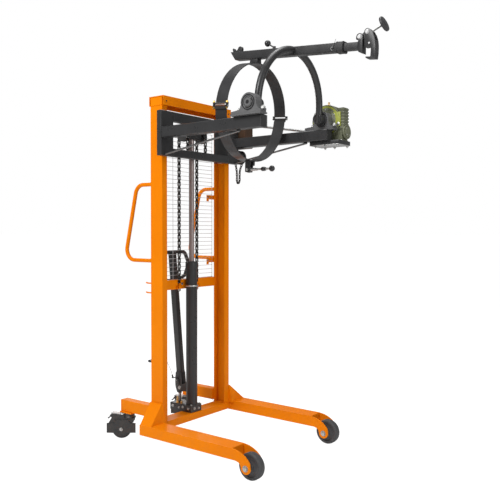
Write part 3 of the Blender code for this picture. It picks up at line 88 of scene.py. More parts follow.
class Look:
    """A node material under construction."""

    def __init__(self, name):
        self.mat = bpy.data.materials.new(name)
        self.mat.use_nodes = True
        self.nodes = self.mat.node_tree.nodes
        self.links = self.mat.node_tree.links
        self.shader = self.nodes["Principled BSDF"]
        self.coords = self.nodes.new("ShaderNodeTexCoord").outputs["Object"]

    def noise(self, scale, detail=3.0, rough=0.55, stretch=None):
        """A noise of the place on the object."""
        node = self.nodes.new("ShaderNodeTexNoise")
        node.inputs["Scale"].default_value = scale
        node.inputs["Detail"].default_value = detail
        node.inputs["Roughness"].default_value = rough
        source = self.coords
        if stretch:
            place = self.nodes.new("ShaderNodeMapping")
            place.inputs["Scale"].default_value = stretch
            self.links.new(self.coords, place.inputs["Vector"])
            source = place.outputs["Vector"]
        self.links.new(source, node.inputs["Vector"])
        return node.outputs["Fac"]

    def between(self, value, low, high, out_low, out_high):
        """A value mapped from one range to another and clamped."""
        node = self.nodes.new("ShaderNodeMapRange")
        for name, number in (("From Min", low), ("From Max", high), ("To Min", out_low), ("To Max", out_high)):
            node.inputs[name].default_value = number
        self.links.new(value, node.inputs["Value"])
        return node.outputs["Result"]

    def times(self, a, b):
        """The product of two values."""
        node = self.nodes.new("ShaderNodeMath")
        node.operation = "MULTIPLY"
        self.links.new(a, node.inputs[0])
        self.links.new(b, node.inputs[1])
        return node.outputs[0]

    def mix(self, share, a, b):
        """Two colours mixed by a share; a colour is a tuple or a socket."""
        node = self.nodes.new("ShaderNodeMix")
        node.data_type = "RGBA"
        for socket, colour in ((node.inputs[6], a), (node.inputs[7], b)):
            if isinstance(colour, tuple):
                socket.default_value = (*colour, 1.0)
            else:
                self.links.new(colour, socket)
        self.links.new(share, node.inputs[0])
        return node.outputs[2]

    def height(self):
        """The height above the floor."""
        node = self.nodes.new("ShaderNodeSeparateXYZ")
        self.links.new(self.coords, node.inputs[0])
        return node.outputs["Z"]

    def bump(self, value, strength, distance, after=None):
        """A bump whose normal goes to the shader."""
        node = self.nodes.new("ShaderNodeBump")
        node.inputs["Strength"].default_value = strength
        node.inputs["Distance"].default_value = distance
        self.links.new(value, node.inputs["Height"])
        if after:
            self.links.new(after, node.inputs["Normal"])
        self.links.new(node.outputs["Normal"], self.shader.inputs["Normal"])
        return node.outputs["Normal"]

    def put(self, name, value):
        """Sets a socket of the shader to a number or links it."""
        socket = self.shader.inputs[name]
        if isinstance(value, (int, float)):
            socket.default_value = value
        elif isinstance(value, tuple):
            socket.default_value = (*value, 1.0)
        else:
            self.links.new(value, socket)


def paint(name, colour, dark, rough, grime=0.0, peel=0.25, scuffs=0.3, gloss=0.3):
    """A sprayed paint: slow changes of tone, orange peel, dull scuffs and dust near the floor."""
    look = Look(name)
    tone = look.between(look.noise(2.2, 4.0), 0.35, 0.68, 0.0, 1.0)
    base = look.mix(tone, colour, dark)
    if grime:
        low = look.between(look.height(), 0.02, 0.30, grime, 0.0)
        dirt = look.times(low, look.between(look.noise(26.0, 6.0, 0.7), 0.42, 0.70, 0.0, 1.0))
        base = look.mix(dirt, base, (0.16, 0.11, 0.07))
    marks = look.between(look.noise(34.0, 8.0, 0.72), 0.60, 0.72, 0.0, scuffs)
    base = look.mix(marks, base, tuple(0.62 * c + 0.03 for c in colour))
    look.put("Base Color", base)
    look.put("Roughness", look.between(look.noise(11.0, 5.0), 0.30, 0.72, rough - 0.06, rough + 0.10))
    look.put("Specular IOR Level", gloss)
    slow = look.bump(look.noise(38.0, 2.0), 0.10, 0.0015)
    look.bump(look.noise(620.0, 2.0), peel, 0.00025, slow)
    return look.mat


def metal(name, colour, dark, rough, stretch=(1.0, 1.0, 0.06), grain=260.0, metallic=1.0, stain=0.35):
    """A plated or ground metal with fine streaks and a few stains."""
    look = Look(name)
    streak = look.noise(grain, 4.0, 0.6, stretch)
    cloud = look.between(look.noise(24.0, 6.0, 0.65), 0.45, 0.72, 0.0, stain)
    base = look.mix(look.between(streak, 0.3, 0.7, 0.0, 0.5), colour, dark)
    look.put("Base Color", look.mix(cloud, base, dark))
    look.put("Metallic", metallic)
    look.put("Roughness", look.between(streak, 0.25, 0.75, rough - 0.07, rough + 0.12))
    look.bump(streak, 0.12, 0.0002)
    return look.mat


def casting(name, colour, dark, rough, grain=0.5):
    """A painted sand casting with a pebbled skin."""
    look = Look(name)
    tone = look.between(look.noise(9.0, 5.0), 0.35, 0.68, 0.0, 1.0)
    base = look.mix(tone, colour, dark)
    pits = look.between(look.noise(150.0, 5.0, 0.7), 0.58, 0.75, 0.0, 0.6)
    look.put("Base Color", look.mix(pits, base, tuple(0.5 * c for c in dark)))
    look.put("Roughness", look.between(look.noise(60.0, 4.0), 0.3, 0.7, rough - 0.08, rough + 0.12))
    slow = look.bump(look.noise(70.0, 3.0), 0.25, 0.0016)
    look.bump(look.noise(420.0, 4.0, 0.65), grain, 0.0006, slow)
    return look.mat


def plastic(name, colour, rough, dust=0.3, grain=0.15):
    """Moulded plastic or rubber with a fine skin and some dust."""
    look = Look(name)
    cloud = look.between(look.noise(30.0, 6.0, 0.7), 0.45, 0.75, 0.0, dust)
    look.put("Base Color", look.mix(cloud, colour, tuple(1.5 * c + 0.02 for c in colour)))
    look.put("Roughness", look.between(look.noise(45.0, 5.0), 0.3, 0.7, rough - 0.06, rough + 0.10))
    look.bump(look.noise(700.0, 3.0), grain, 0.0003)
    return look.mat


ORANGE = paint("orange_gloss_paint", (0.80, 0.216, 0.001), (0.755, 0.188, 0.001), 0.34, grime=0.15, gloss=0.05)
DARK = paint("dark_grey_satin_paint", (0.031, 0.031, 0.032), (0.025, 0.025, 0.026), 0.31, grime=0.2, scuffs=0.4, gloss=0.38)
CAST = casting("cast_grey_paint", (0.112, 0.112, 0.114), (0.082, 0.082, 0.084), 0.46)
OLIVE = casting("olive_casting_paint", (0.150, 0.158, 0.098), (0.105, 0.112, 0.070), 0.42, 0.35)
LIME = casting("yellow_green_casting_paint", (0.40, 0.43, 0.05), (0.30, 0.34, 0.05), 0.40, 0.3)
BROWN = paint("worn_brown_paint", (0.040, 0.026, 0.017), (0.085, 0.036, 0.014), 0.45, scuffs=0.9)
ZINC = metal("bright_zinc", (0.50, 0.50, 0.49), (0.34, 0.34, 0.33), 0.34)
CAP = metal("dull_zinc_cap", (0.60, 0.60, 0.60), (0.48, 0.48, 0.48), 0.50, metallic=0.15, stain=0.25)
GOLD = metal("yellow_zinc", (0.66, 0.42, 0.10), (0.45, 0.27, 0.07), 0.34)
BRASS = metal("brass", (0.62, 0.40, 0.16), (0.42, 0.26, 0.10), 0.34)
GROUND = metal("ground_ram_steel", (0.31, 0.255, 0.245), (0.25, 0.20, 0.19), 0.34, (30.0, 30.0, 0.4), 12.0, 0.45)
STEEL = metal("turned_steel", (0.20, 0.20, 0.20), (0.13, 0.13, 0.13), 0.36, (1.0, 1.0, 1.0), 200.0)
CHAIN = metal("oiled_chain_steel", (0.045, 0.042, 0.039), (0.022, 0.020, 0.019), 0.42, (1.0, 1.0, 1.0), 160.0, 0.6)
WIRE = metal("plated_guard_wire", (0.50, 0.50, 0.50), (0.38, 0.38, 0.38), 0.42, (1.0, 1.0, 1.0), 150.0, 0.5)
RUBBER = plastic("dark_wheel_rubber", (0.042, 0.042, 0.044), 0.62, 0.35, 0.3)
HUB = plastic("dark_wheel_core", (0.050, 0.050, 0.053), 0.48, 0.30)
BLACK = plastic("black_gloss_plastic", (0.016, 0.016, 0.017), 0.18, 0.10, 0.04)
GRIP = plastic("black_grained_plastic", (0.024, 0.024, 0.026), 0.42, 0.25)
COPPER = metal("copper_washer", (0.42, 0.16, 0.07), (0.26, 0.10, 0.05), 0.38)

SLOTS = {
    "orange_paint": ORANGE, "dark_grey_paint": DARK, "cast_grey_paint": CAST, "olive_gearbox_paint": OLIVE,
    "brown_box_paint": BROWN, "zinc_plate": ZINC, "ground_steel": GROUND, "oiled_chain": CHAIN,
    "grey_wire": WIRE, "dark_rubber": RUBBER,
}


# Shapes


PLANES = {"XY": (0, 1, 2), "XZ": (0, 2, 1), "YZ": (1, 2, 0)}


def arc(middle, radius, a0, a1, steps):
    """Points of an arc in a plane, in degrees."""
    made = []
    for i in range(steps + 1):
        angle = math.radians(a0 + (a1 - a0) * i / steps)
        made.append((middle[0] + radius * math.cos(angle), middle[1] + radius * math.sin(angle)))
    return made


def rounded_square(middle, half, radius):
    """The outline of a square section with round corners."""
    made = []
    reach = half - radius
    for a, b, start in ((1, 1, 0), (-1, 1, 90), (-1, -1, 180), (1, -1, 270)):
        made += arc((middle[0] + a * reach, middle[1] + b * reach), radius, start, start + 90, 5)
    return made


def rounded(points, radius, steps=8):
    """A path with each inner corner replaced by an arc."""
    path = [Vector(p) for p in points]
    made = [path[0]]
    for before, corner, after in zip(path, path[1:], path[2:]):
        into = (before - corner).normalized()
        out = (after - corner).normalized()
        half = into.angle(out) / 2
        reach = min(radius / math.tan(half), 0.45 * (before - corner).length, 0.45 * (after - corner).length)
        r = reach * math.tan(half)
        middle = corner + (into + out).normalized() * (r / math.sin(half))
        a = (corner + into * reach - middle).normalized()
        b = (corner + out * reach - middle).normalized()
        made += [middle + a.slerp(b, i / steps) * r for i in range(steps + 1)]
    made.append(path[-1])
    return made


def resampled(path, step, closed=False):
    """Points at an even pitch along a path."""
    points = [Vector(p) for p in path]
    if closed:
        points.append(points[0])
    lengths = [(b - a).length for a, b in zip(points, points[1:])]
    total = sum(lengths)
    count = max(2, round(total / step))
    made = []
    i = 0
    done = 0.0
    for k in range(count + (0 if closed else 1)):
        want = total * k / count
        while i < len(lengths) - 1 and done + lengths[i] < want:
            done += lengths[i]
            i += 1
        made.append(points[i].lerp(points[i + 1], (want - done) / max(lengths[i], 1e-9)))
    return made


class Shape:
    """Meshes that make one piece, drawn in the coordinates of a frame."""

    def __init__(self, turn=MAST):
        self.work = bmesh.new()
        self.turn = turn

    def add(self, verts, matrix):
        bmesh.ops.transform(self.work, matrix=self.turn @ matrix, verts=verts)

    def soften(self, verts, edge, segments=2):
        """Rounds the edges of a block that was just made."""
        inside = set(verts)
        edges = [e for e in self.work.edges if e.verts[0] in inside and e.verts[1] in inside]
        return bmesh.ops.bevel(self.work, geom=edges, offset=edge, segments=segments, affect="EDGES", profile=0.6)

    def box(self, x, y, z, edge=0.0, turn=None):
        """A block between pairs of limits, turned about its own middle."""
        size = [abs(b - a) for a, b in (x, y, z)]
        middle = Vector([(a + b) / 2 for a, b in (x, y, z)])
        made = bmesh.ops.create_cube(self.work, size=1.0)["verts"]
        matrix = Matrix.Translation(middle) @ (turn or Matrix.Identity(4)) @ Matrix.Diagonal((*size, 1.0))
        self.add(made, matrix)
        if edge:
            self.soften(made, edge)
        return self

    def rod(self, a, b, radius, tip=None, sides=32, edge=0.0):
        """A round bar or cone between two points, with broken rims."""
        a, b = Vector(a), Vector(b)
        along = (b - a).normalized()
        long = (b - a).length
        top = radius if tip is None else tip
        if edge:
            profile = [(0.0, 0.0), (radius - edge, 0.0), (radius, edge), (top, long - edge), (top - edge, long), (0.0, long)]
        else:
            profile = [(0.0, 0.0), (radius, 0.0), (top, long), (0.0, long)]
        return self.lathe(profile, a, along, sides)

    def lathe(self, profile, at, along, sides=48, closed=False):
        """A turned shape from (radius, height) points, bottom to top along an axis."""
        along = Vector(along).normalized()
        matrix = self.turn @ Matrix.Translation(Vector(at)) @ along.to_track_quat("Z", "Y").to_matrix().to_4x4()
        rings = []
        for r, h in profile:
            if r < 1e-7:
                rings.append([self.work.verts.new(matrix @ Vector((0.0, 0.0, h)))])
                continue
            ring = []
            for k in range(sides):
                angle = 2 * math.pi * k / sides
                ring.append(self.work.verts.new(matrix @ Vector((r * math.cos(angle), r * math.sin(angle), h))))
            rings.append(ring)
        pairs = list(zip(rings, rings[1:]))
        if closed:
            pairs.append((rings[-1], rings[0]))
        for low, high in pairs:
            for k in range(sides):
                j = (k + 1) % sides
                corners = [low[k % len(low)], low[j % len(low)], high[j % len(high)], high[k % len(high)]]
                corners = list(dict.fromkeys(corners))
                if len(corners) > 2:
                    self.work.faces.new(corners)
        return self

    def tube(self, path, radius, sides=16, closed=False, swell=None):
        """A round bar along a path. The swell gives the share of the radius at each point."""
        points = [Vector(p) for p in path]
        count = len(points)
        tangents = []
        for i in range(count):
            before = points[i - 1] if i or closed else points[0]
            after = points[(i + 1) % count] if i < count - 1 or closed else points[-1]
            tangents.append((after - before).normalized())
        normal = tangents[0].orthogonal().normalized()
        rings = []
        for i, (point, tangent) in enumerate(zip(points, tangents)):
            normal = (normal - tangent * normal.dot(tangent)).normalized()
            side = tangent.cross(normal)
            r = radius * (swell(i) if swell else 1.0)
            ring = []
            for k in range(sides):
                angle = 2 * math.pi * k / sides
                at = point + (normal * math.cos(angle) + side * math.sin(angle)) * r
                ring.append(self.work.verts.new(self.turn @ at))
            rings.append(ring)
        pairs = list(zip(rings, rings[1:]))
        if closed:
            first, last = rings[0], rings[-1]
            shift = min(range(sides), key=lambda s: (last[0].co - first[s].co).length)
            pairs.append((last, first[shift:] + first[:shift]))
        for low, high in pairs:
            for k in range(sides):
                j = (k + 1) % sides
                self.work.faces.new((low[k], low[j], high[j], high[k]))
        if not closed:
            self.work.faces.new(list(reversed(rings[0])))
            self.work.faces.new(rings[-1])
        return self

    def prism(self, outline, plane, low, high, edge=0.0):
        """A flat outline of a plane between two levels across it."""
        a, b, c = PLANES[plane]
        loops = []
        for level in (low, high):
            loop = []
            for p in outline:
                at = [0.0, 0.0, 0.0]
                at[a], at[b], at[c] = p[0], p[1], level
                loop.append(self.work.verts.new(self.turn @ Vector(at)))
            loops.append(loop)
        faces = [self.work.faces.new(loops[0]), self.work.faces.new(loops[1])]
        count = len(outline)
        for i in range(count):
            j = (i + 1) % count
            faces.append(self.work.faces.new((loops[0][i], loops[0][j], loops[1][j], loops[1][i])))
        bmesh.ops.recalc_face_normals(self.work, faces=faces)
        if edge:
            rims = [e for f in faces[:2] for e in f.edges]
            bmesh.ops.bevel(self.work, geom=rims, offset=edge, segments=2, affect="EDGES", profile=0.6)
        return self

    def sleeve(self, outer, inner, plane, low, high):
        """A hollow section between two levels. A level is a number or a function of the point."""
        a, b, c = PLANES[plane]
        loops = []
        for outline, level in ((outer, low), (outer, high), (inner, high), (inner, low)):
            loop = []
            for p in outline:
                at = [0.0, 0.0, 0.0]
                at[a], at[b], at[c] = p[0], p[1], level(p) if callable(level) else level
                loop.append(self.work.verts.new(self.turn @ Vector(at)))
            loops.append(loop)
        count = len(outer)
        for one, other in zip(loops, loops[1:] + loops[:1]):
            for i in range(count):
                j = (i + 1) % count
                self.work.faces.new((one[i], one[j], other[j], other[i]))
        return self

    def ball(self, at, radius, sides=28):
        """A sphere."""
        made = bmesh.ops.create_uvsphere(self.work, u_segments=sides, v_segments=sides // 2, radius=radius)["verts"]
        self.add(made, Matrix.Translation(Vector(at)))
        return self

    def ring(self, at, along, radius, thick, sides=40, around=10):
        """A round ring."""
        matrix = Matrix.Translation(Vector(at)) @ Vector(along).to_track_quat("Z", "Y").to_matrix().to_4x4()
        path = [matrix @ Vector((radius * math.cos(t), radius * math.sin(t), 0.0))
                for t in (2 * math.pi * k / sides for k in range(sides))]
        return self.tube(path, thick, around, closed=True)

    def bolt(self, at, along, across, high=None, washer=True, stub=0.0):
        """A hexagon head on a washer, with the end of a thread when stub is given."""
        at, along = Vector(at), Vector(along).normalized()
        high = high or across * 0.42
        if washer:
            thick = across * 0.09
            self.lathe([(0.0, 0.0), (across * 0.68, 0.0), (across * 0.70, thick * 0.4), (across * 0.68, thick), (0.0, thick)],
                       at, along, 32)
            at = at + along * thick
        matrix = self.turn @ Matrix.Translation(at) @ along.to_track_quat("Z", "Y").to_matrix().to_4x4()
        r = across / math.sqrt(3)
        rings = []
        for share, level in ((1.0, 0.0), (1.0, high * 0.84), (0.86, high)):
            ring = []
            for k in range(6):
                angle = math.pi * k / 3 + 0.3
                ring.append(self.work.verts.new(matrix @ Vector((r * share * math.cos(angle), r * share * math.sin(angle), level))))
            rings.append(ring)
        self.work.faces.new(list(reversed(rings[0])))
        self.work.faces.new(rings[-1])
        for low, top in zip(rings, rings[1:]):
            for k in range(6):
                j = (k + 1) % 6
                self.work.faces.new((low[k], low[j], top[j], top[k]))
        if stub:
            self.lathe([(0.0, 0.0), (across * 0.30, 0.0), (across * 0.30, high + stub * 0.8), (across * 0.24, high + stub),
                        (0.0, high + stub)], at, along, 16)
        return self

    def weld(self, path, radius=0.0028, closed=False):
        """A weld bead along a path, with its ripples."""
        points = resampled(path, radius * 0.55, closed)
        return self.tube(points, radius, 7, closed,
                         lambda i: 0.86 + 0.16 * math.sin(i * 1.9) + 0.10 * noise.noise(points[i] * 90.0))

    def done(self, name, look, body, smooth=40.0):
        """Makes the object and lets it ride on a body."""
        mesh = bpy.data.meshes.new(name)
        bmesh.ops.recalc_face_normals(self.work, faces=self.work.faces)
        self.work.to_mesh(mesh)
        self.work.free()
        mesh.materials.append(look)
        mesh.shade_smooth()
        mesh.set_sharp_from_angle(angle=math.radians(smooth))
        obj = bpy.data.objects.new(name, mesh)
        bpy.context.scene.collection.objects.link(obj)
        if body:
            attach(obj, body)
        return obj


def side_name(side):
    return "left" if side > 0 else "right"


def loop_of(plane, x, y, level):
    """A rectangle of a plane as a path in space."""
    a, b, c = PLANES[plane]
    made = []
    for p, q in ((x[0], y[0]), (x[1], y[0]), (x[1], y[1]), (x[0], y[1])):
        at = [0.0, 0.0, 0.0]
        at[a], at[b], at[c] = p, q, level
        made.append(tuple(at))
    return made


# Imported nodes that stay: their finish


def dress_nodes():
    """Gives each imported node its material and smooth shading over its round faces."""
    for name, node in frame["nodes"].items():
        slot = next(s["material_slot"] for s in frame["record"]["subparts"] if s["node"] == name)
        node.data.materials.clear()
        node.data.materials.append(STEEL if name.startswith("brace_") else SLOTS[slot])
        weld = node.modifiers.new("weld", "WELD")
        weld.merge_threshold = 0.00002
        split = node.modifiers.new("edges", "EDGE_SPLIT")
        split.split_angle = math.radians(42.0)
        for polygon in node.data.polygons:
            polygon.use_smooth = True


# Mast


def mast_pieces():
    """Guard wires, brackets, welds, bolts and small fittings of the mast, and black discs of painted shade for the
    vents of the top beam.
    """
    wires = Shape()
    for y in (-0.2645, -0.119, 0.119, 0.2645):
        wires.tube([(-0.1055, y, 1.0290), (-0.1055, y, 2.0000)], 0.0014, 8)
    count = 36
    for i in range(count + 1):
        z = 1.0300 + (1.9990 - 1.0300) * i / count
        wires.tube([(-0.1030, -0.2658, z), (-0.1030, 0.2658, z)], 0.0013, 8)
    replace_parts(wires.done("guard_wires", WIRE, "mast"), "mesh_guard")

    clips = Shape()
    screws = Shape()
    for z in (1.136, 1.568):
        for side in (-1, 1):
            outline = [(side * 0.2865, z + 0.021), (side * 0.2865, z - 0.008), (side * 0.232, z - 0.008),
                       (side * 0.232, z - 0.022), (side * 0.212, z - 0.022), (side * 0.212, z + 0.021)]
            clips.prism(outline, "YZ", -0.1086, -0.1044, 0.0006)
            clips.box((-0.1046, -0.0990), tuple(sorted((side * 0.2800, side * 0.2865))), (z - 0.006, z + 0.019))
            screws.bolt((-0.1086, side * 0.250, z + 0.006), (-1, 0, 0), 0.010)
            screws.bolt((-0.1044, side * 0.222, z + 0.008), (1, 0, 0), 0.010, 0.004)
    clips.done("guard_brackets", ORANGE, "mast")
    screws.done("guard_screws", ZINC, "mast")

    beads = Shape()
    for side in (-1, 1):
        y0, y1 = side * 0.278, side * 0.3225
        beads.weld([(0.001, y0, 0.161), (0.001, y1, 0.161)], 0.003)
        beads.weld([(-0.101, y0, 0.161), (-0.101, y1, 0.161)], 0.003)
        beads.weld([(-0.0995, side * 0.2775, 0.161), (-0.001, side * 0.2775, 0.161)], 0.0025)
        beads.weld([(0.001, side * 0.3402, 0.116), (0.001, side * 0.3402, 0.158)], 0.003)
        beads.weld([(-0.101, side * 0.3402, 0.116), (-0.101, side * 0.3402, 0.158)], 0.003)
        beads.weld([(-0.0985, side * 0.3240, 0.2770), (-0.0015, side * 0.3240, 0.2770)], 0.0022)
        beads.weld([(0.0010, side * 0.3235, 0.2750), (0.0285, side * 0.3235, 0.1660)], 0.0022)
        beads.weld(loop_of("YZ", tuple(sorted((side * 0.2625, side * 0.3215))), (0.1745, 0.2475), -0.1012), 0.0026, True)
        beads.weld([(-0.0025, side * 0.3228, 2.1125), (-0.0985, side * 0.3228, 2.1125)], 0.0022)
        beads.weld([(0.0145, side * 0.2790, 2.1100), (0.0010, side * 0.2790, 2.1100)], 0.0020)
        for z0, z1 in ((0.966, 1.027),):
            beads.weld([(-0.0895, side * 0.2778, z0), (-0.0895, side * 0.2778, z1)], 0.0022)
            beads.weld([(-0.1195, side * 0.2778, z0), (-0.1195, side * 0.2778, z1)], 0.0022)
        for z in (1.157, 1.640):
            beads.ring((-0.1012, side * 0.300, z), (1, 0, 0), 0.0135, 0.0022)
    beads.done("mast_weld_beads", ORANGE, "mast")

    strap = Shape()
    strap.lathe([(0.0373, 0.0), (0.0428, 0.0), (0.0433, 0.0008), (0.0433, 0.0092), (0.0428, 0.0100), (0.0373, 0.0100)],
                (-0.052, 0.0, 0.981), (0, 0, 1), 56, closed=True)
    for side in (-1, 1):
        strap.bolt((-0.081, side * 0.085, 0.9700), (0, 0, -1), 0.015, 0.007)
        strap.bolt((-0.081, side * 0.085, 0.9620), (0, 0, -1), 0.015, 0.007, washer=False, stub=0.004)
        strap.bolt((-0.0885, side * 0.052, 0.9995), (1, 0, 0), 0.013)
    strap.done("cylinder_strap_and_nuts", ZINC, "mast")

    brackets = Shape()
    for side in (-1, 1):
        brackets.box((-0.0900, -0.0712), tuple(sorted((side * 0.062, side * 0.108))), (0.9685, 0.9715), 0.0006)
        for y in (0.0635, 0.1065):
            web = [(-0.0900, 0.9715), (-0.0715, 0.9715), (-0.0900, 0.9960)]
            brackets.prism(web, "XZ", side * y - 0.0015, side * y + 0.0015)
    brackets.done("chain_anchor_brackets", ORANGE, "mast")

    hooks = Shape()
    for z in (0.956, 1.016):
        path = [(-0.0995, -0.300, z), (-0.150, -0.300, z), (-0.163, -0.300, z + 0.003)]
        hooks.tube(rounded(path, 0.008, 4), 0.0045, 12)
    hooks.done("rear_prongs", ORANGE, "mast")

    # Black discs on the front of the top beam are painted shade: they stand in for the dark openings of the vents.
    vent_painted_shade = Shape()
    for y in (-0.299, 0.299):
        vent_painted_shade.lathe([(0.0, 0.0), (0.0052, 0.0), (0.0052, 0.0010), (0.0, 0.0010)], (0.0149, y, 2.137), (1, 0, 0), 20)
    vent_painted_shade.done("top_beam_vent_painted_shade", BLACK, "mast")


def rolling_pieces():
    """Wheels with hubs, axle bolts and caster fittings."""
    for side in (-1, 1):
        name = side_name(side)
        middle = side * 0.398
        tread = [(0.0545, -0.0165), (0.0560, -0.0215), (0.0600, -0.0225), (0.0680, -0.0225), (0.0722, -0.0205),
                 (0.0742, -0.0165), (0.0750, -0.0100), (0.0750, 0.0100), (0.0742, 0.0165), (0.0722, 0.0205),
                 (0.0680, 0.0225), (0.0600, 0.0225), (0.0560, 0.0215), (0.0545, 0.0165)]
        tyre = Shape().lathe(tread, (0.750, middle, 0.075), (0, 1, 0), 72, closed=True)
        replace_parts(tyre.done("front_tyre_" + name, RUBBER, "front_wheel_" + name), "front_wheel_" + name)
        core = [(0.0083, -0.0310), (0.0180, -0.0310), (0.0225, -0.0300), (0.0255, -0.0270), (0.0275, -0.0180),
                (0.0330, -0.0150), (0.0470, -0.0145), (0.0520, -0.0165), (0.0546, -0.0165), (0.0546, 0.0165),
                (0.0520, 0.0165), (0.0470, 0.0145), (0.0330, 0.0150), (0.0275, 0.0180), (0.0255, 0.0270),
                (0.0225, 0.0300), (0.0180, 0.0310), (0.0083, 0.0310)]
        Shape().lathe(core, (0.750, middle, 0.075), (0, 1, 0), 72, closed=True).done(
            "front_wheel_core_" + name, HUB, "front_wheel_" + name)
        bolts = Shape()
        bolts.bolt((0.750, side * 0.3405, 0.075), (0, -side, 0), 0.0255, 0.0068)
        bolts.bolt((0.750, side * 0.4555, 0.075), (0, side, 0), 0.0255, 0.0068, stub=0.0)
        bolts.rod((0.750, side * 0.349, 0.075), (0.750, side * 0.366, 0.075), 0.0145, edge=0.001)
        bolts.rod((0.750, side * 0.430, 0.075), (0.750, side * 0.447, 0.075), 0.0145, edge=0.001)
        bolts.done("front_axle_bolts_" + name, ZINC, "mast")

        turn = caster_frame(side)
        x = -0.052
        tread = [(0.0440, -0.0150), (0.0460, -0.0170), (0.0530, -0.0170), (0.0580, -0.0155), (0.0610, -0.0120),
                 (0.0625, -0.0060), (0.0625, 0.0060), (0.0610, 0.0120), (0.0580, 0.0155), (0.0530, 0.0170),
                 (0.0460, 0.0170), (0.0440, 0.0150)]
        tyre = Shape(turn).lathe(tread, (x, 0, 0.0625), (0, 1, 0), 64, closed=True)
        body = "caster_wheel_" + name
        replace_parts(tyre.done("caster_tyre_" + name, RUBBER, body), body)
        core = [(0.0064, -0.0193), (0.0170, -0.0193), (0.0190, -0.0150), (0.0230, -0.0125), (0.0400, -0.0120),
                (0.0441, -0.0150), (0.0441, 0.0150), (0.0400, 0.0120), (0.0230, 0.0125), (0.0190, 0.0150),
                (0.0170, 0.0193), (0.0064, 0.0193)]
        Shape(turn).lathe(core, (x, 0, 0.0625), (0, 1, 0), 64, closed=True).done("caster_core_" + name, HUB, body)
        fork = "caster_fork_" + name
        bolts = Shape(turn)
        bolts.bolt((x, -0.0284, 0.0625), (0, -1, 0), 0.017, 0.0060)
        bolts.bolt((x, 0.0252, 0.0625), (0, 1, 0), 0.017, 0.0060, stub=0.004)
        bolts.lathe([(0.0, 0.0), (0.0045, 0.0), (0.0045, 0.006), (0.0, 0.0065)], (-0.042, -0.0188, 0.150), (0, -1, 0), 18)
        bolts.done("caster_axle_bolts_" + name, ZINC, fork)
        races = Shape(turn)
        races.ring((0, 0, 0.1435), (0, 0, 1), 0.0315, 0.0022, 48)
        races.ring((0, 0, 0.1600), (0, 0, 1), 0.0320, 0.0018, 48)
        races.lathe([(0.0, 0.0), (0.010, 0.0), (0.010, -0.008), (0.0, -0.008)], (0, 0, 0.1315), (0, 0, 1), 20)
        races.done("caster_races_" + name, STEEL, fork)
        rail = [(-0.1440, -0.0292, 0.0415), (-0.1440, -0.0292, 0.1015), (-0.0965, -0.0292, 0.1035), (-0.0930, -0.0292, 0.127),
                (-0.0085, -0.0292, 0.127), (0.0070, -0.0292, 0.1035), (0.0400, -0.0292, 0.1020), (0.0400, -0.0292, 0.0415)]
        Shape(turn).tube(rounded(rail, 0.006, 4), 0.0014, 8).done("caster_guard_rim_" + name, DARK, fork)
        hood = Shape(turn)
        side_of = [(-0.134, 0.104), (-0.131, 0.110), (-0.114, 0.138), (-0.127, 0.1540), (-0.125, 0.1580), (-0.034, 0.1580), (-0.030, 0.104)]
        for level in (-0.0262, 0.0215):
            hood.prism(side_of, "XZ", level, level + 0.0047, 0.0010)
        hood.box((-0.0980, -0.0820), (-0.0255, 0.0255), (0.1275, 0.1325), 0.0010)
        hood.done("caster_hood_" + name, DARK, fork)
        pedal = Shape(turn)
        tip = Vector((-0.118, 0.0, 0.162))
        foot = Vector((-0.050, 0.0, 0.1515))
        along = (tip - foot).normalized()
        up = Vector((-along.z, 0.0, along.x))
        if up.z < 0:
            up = -up
        outline = [foot + along * 0.008 + up * 0.003, tip + up * 0.003, tip + up * 0.0085 - along * 0.004, foot + along * 0.010 + up * 0.0085]
        pedal.prism([(p.x, p.z) for p in outline], "XZ", -0.0170, 0.0170, 0.0010)
        for k in range(5):
            at = foot + along * (0.018 + 0.0095 * k) + up * 0.0088
            pedal.tube([at + Vector((0, -0.0140, 0)), at + Vector((0, 0.0140, 0))], 0.0011, 8)
        pedal.done("brake_pedal_pad_" + name, CAP, "caster_brake_" + name)
        lever = Shape(turn)
        path = [tip + Vector((0.006, -0.012, 0.001)), tip + Vector((-0.004, -0.012, -0.018)), tip + Vector((-0.022, -0.012, -0.031))]
        lever.tube(rounded(path, 0.008, 4), 0.0042, 10)
        lever.done("brake_release_" + name, GRIP, "caster_brake_" + name)


# Lift chain


def link_plate(shape, a, b, level, thick, wide):
    """One waisted link plate between two pins."""
    a, b = Vector(a), Vector(b)
    along = (b - a).normalized()
    across = Vector((-along.z, 0.0, along.x))
    long = (b - a).length
    outline = []
    for k in range(7):
        t = math.radians(90 + 30 * k)
        outline.append((wide / 2 * math.cos(t), wide / 2 * math.sin(t)))
    outline.append((long / 2, -wide * 0.36))
    for k in range(7):
        t = math.radians(-90 + 30 * k)
        outline.append((long + wide / 2 * math.cos(t), wide / 2 * math.sin(t)))
    outline.append((long / 2, wide * 0.36))
    loop = [a + along * p + across * q for p, q in outline]
    shape.prism([(p.x, p.z) for p in loop], "XZ", level - thick / 2, level + thick / 2)


def roller_chain(path, y, plates, pins, width=0.019, height=0.0118, pitch=0.01905, start=0):
    """Link plates, rollers and pins along a path of the XZ plane."""
    points = resampled([Vector((x, 0.0, z)) for x, z in path], pitch)
    for i, (a, b) in enumerate(zip(points, points[1:])):
        offset = width * (0.40 if (i + start) % 2 else 0.27)
        for side in (-1, 1):
            link_plate(plates, a, b, y + side * offset, 0.0020, height)
    for i, p in enumerate(points):
        plates.rod((p.x, y - width * 0.25, p.z), (p.x, y + width * 0.25, p.z), height * 0.34, sides=12)
        head = 0.0046 if i % 2 else 0.0017
        pins.lathe([(0.0, -width / 2), (head * 0.8, -width / 2), (head, -width / 2 + 0.0008), (head, width / 2 - 0.0008),
                    (head * 0.8, width / 2), (0.0, width / 2)], (p.x, y, p.z), (0, 1, 0), 10)


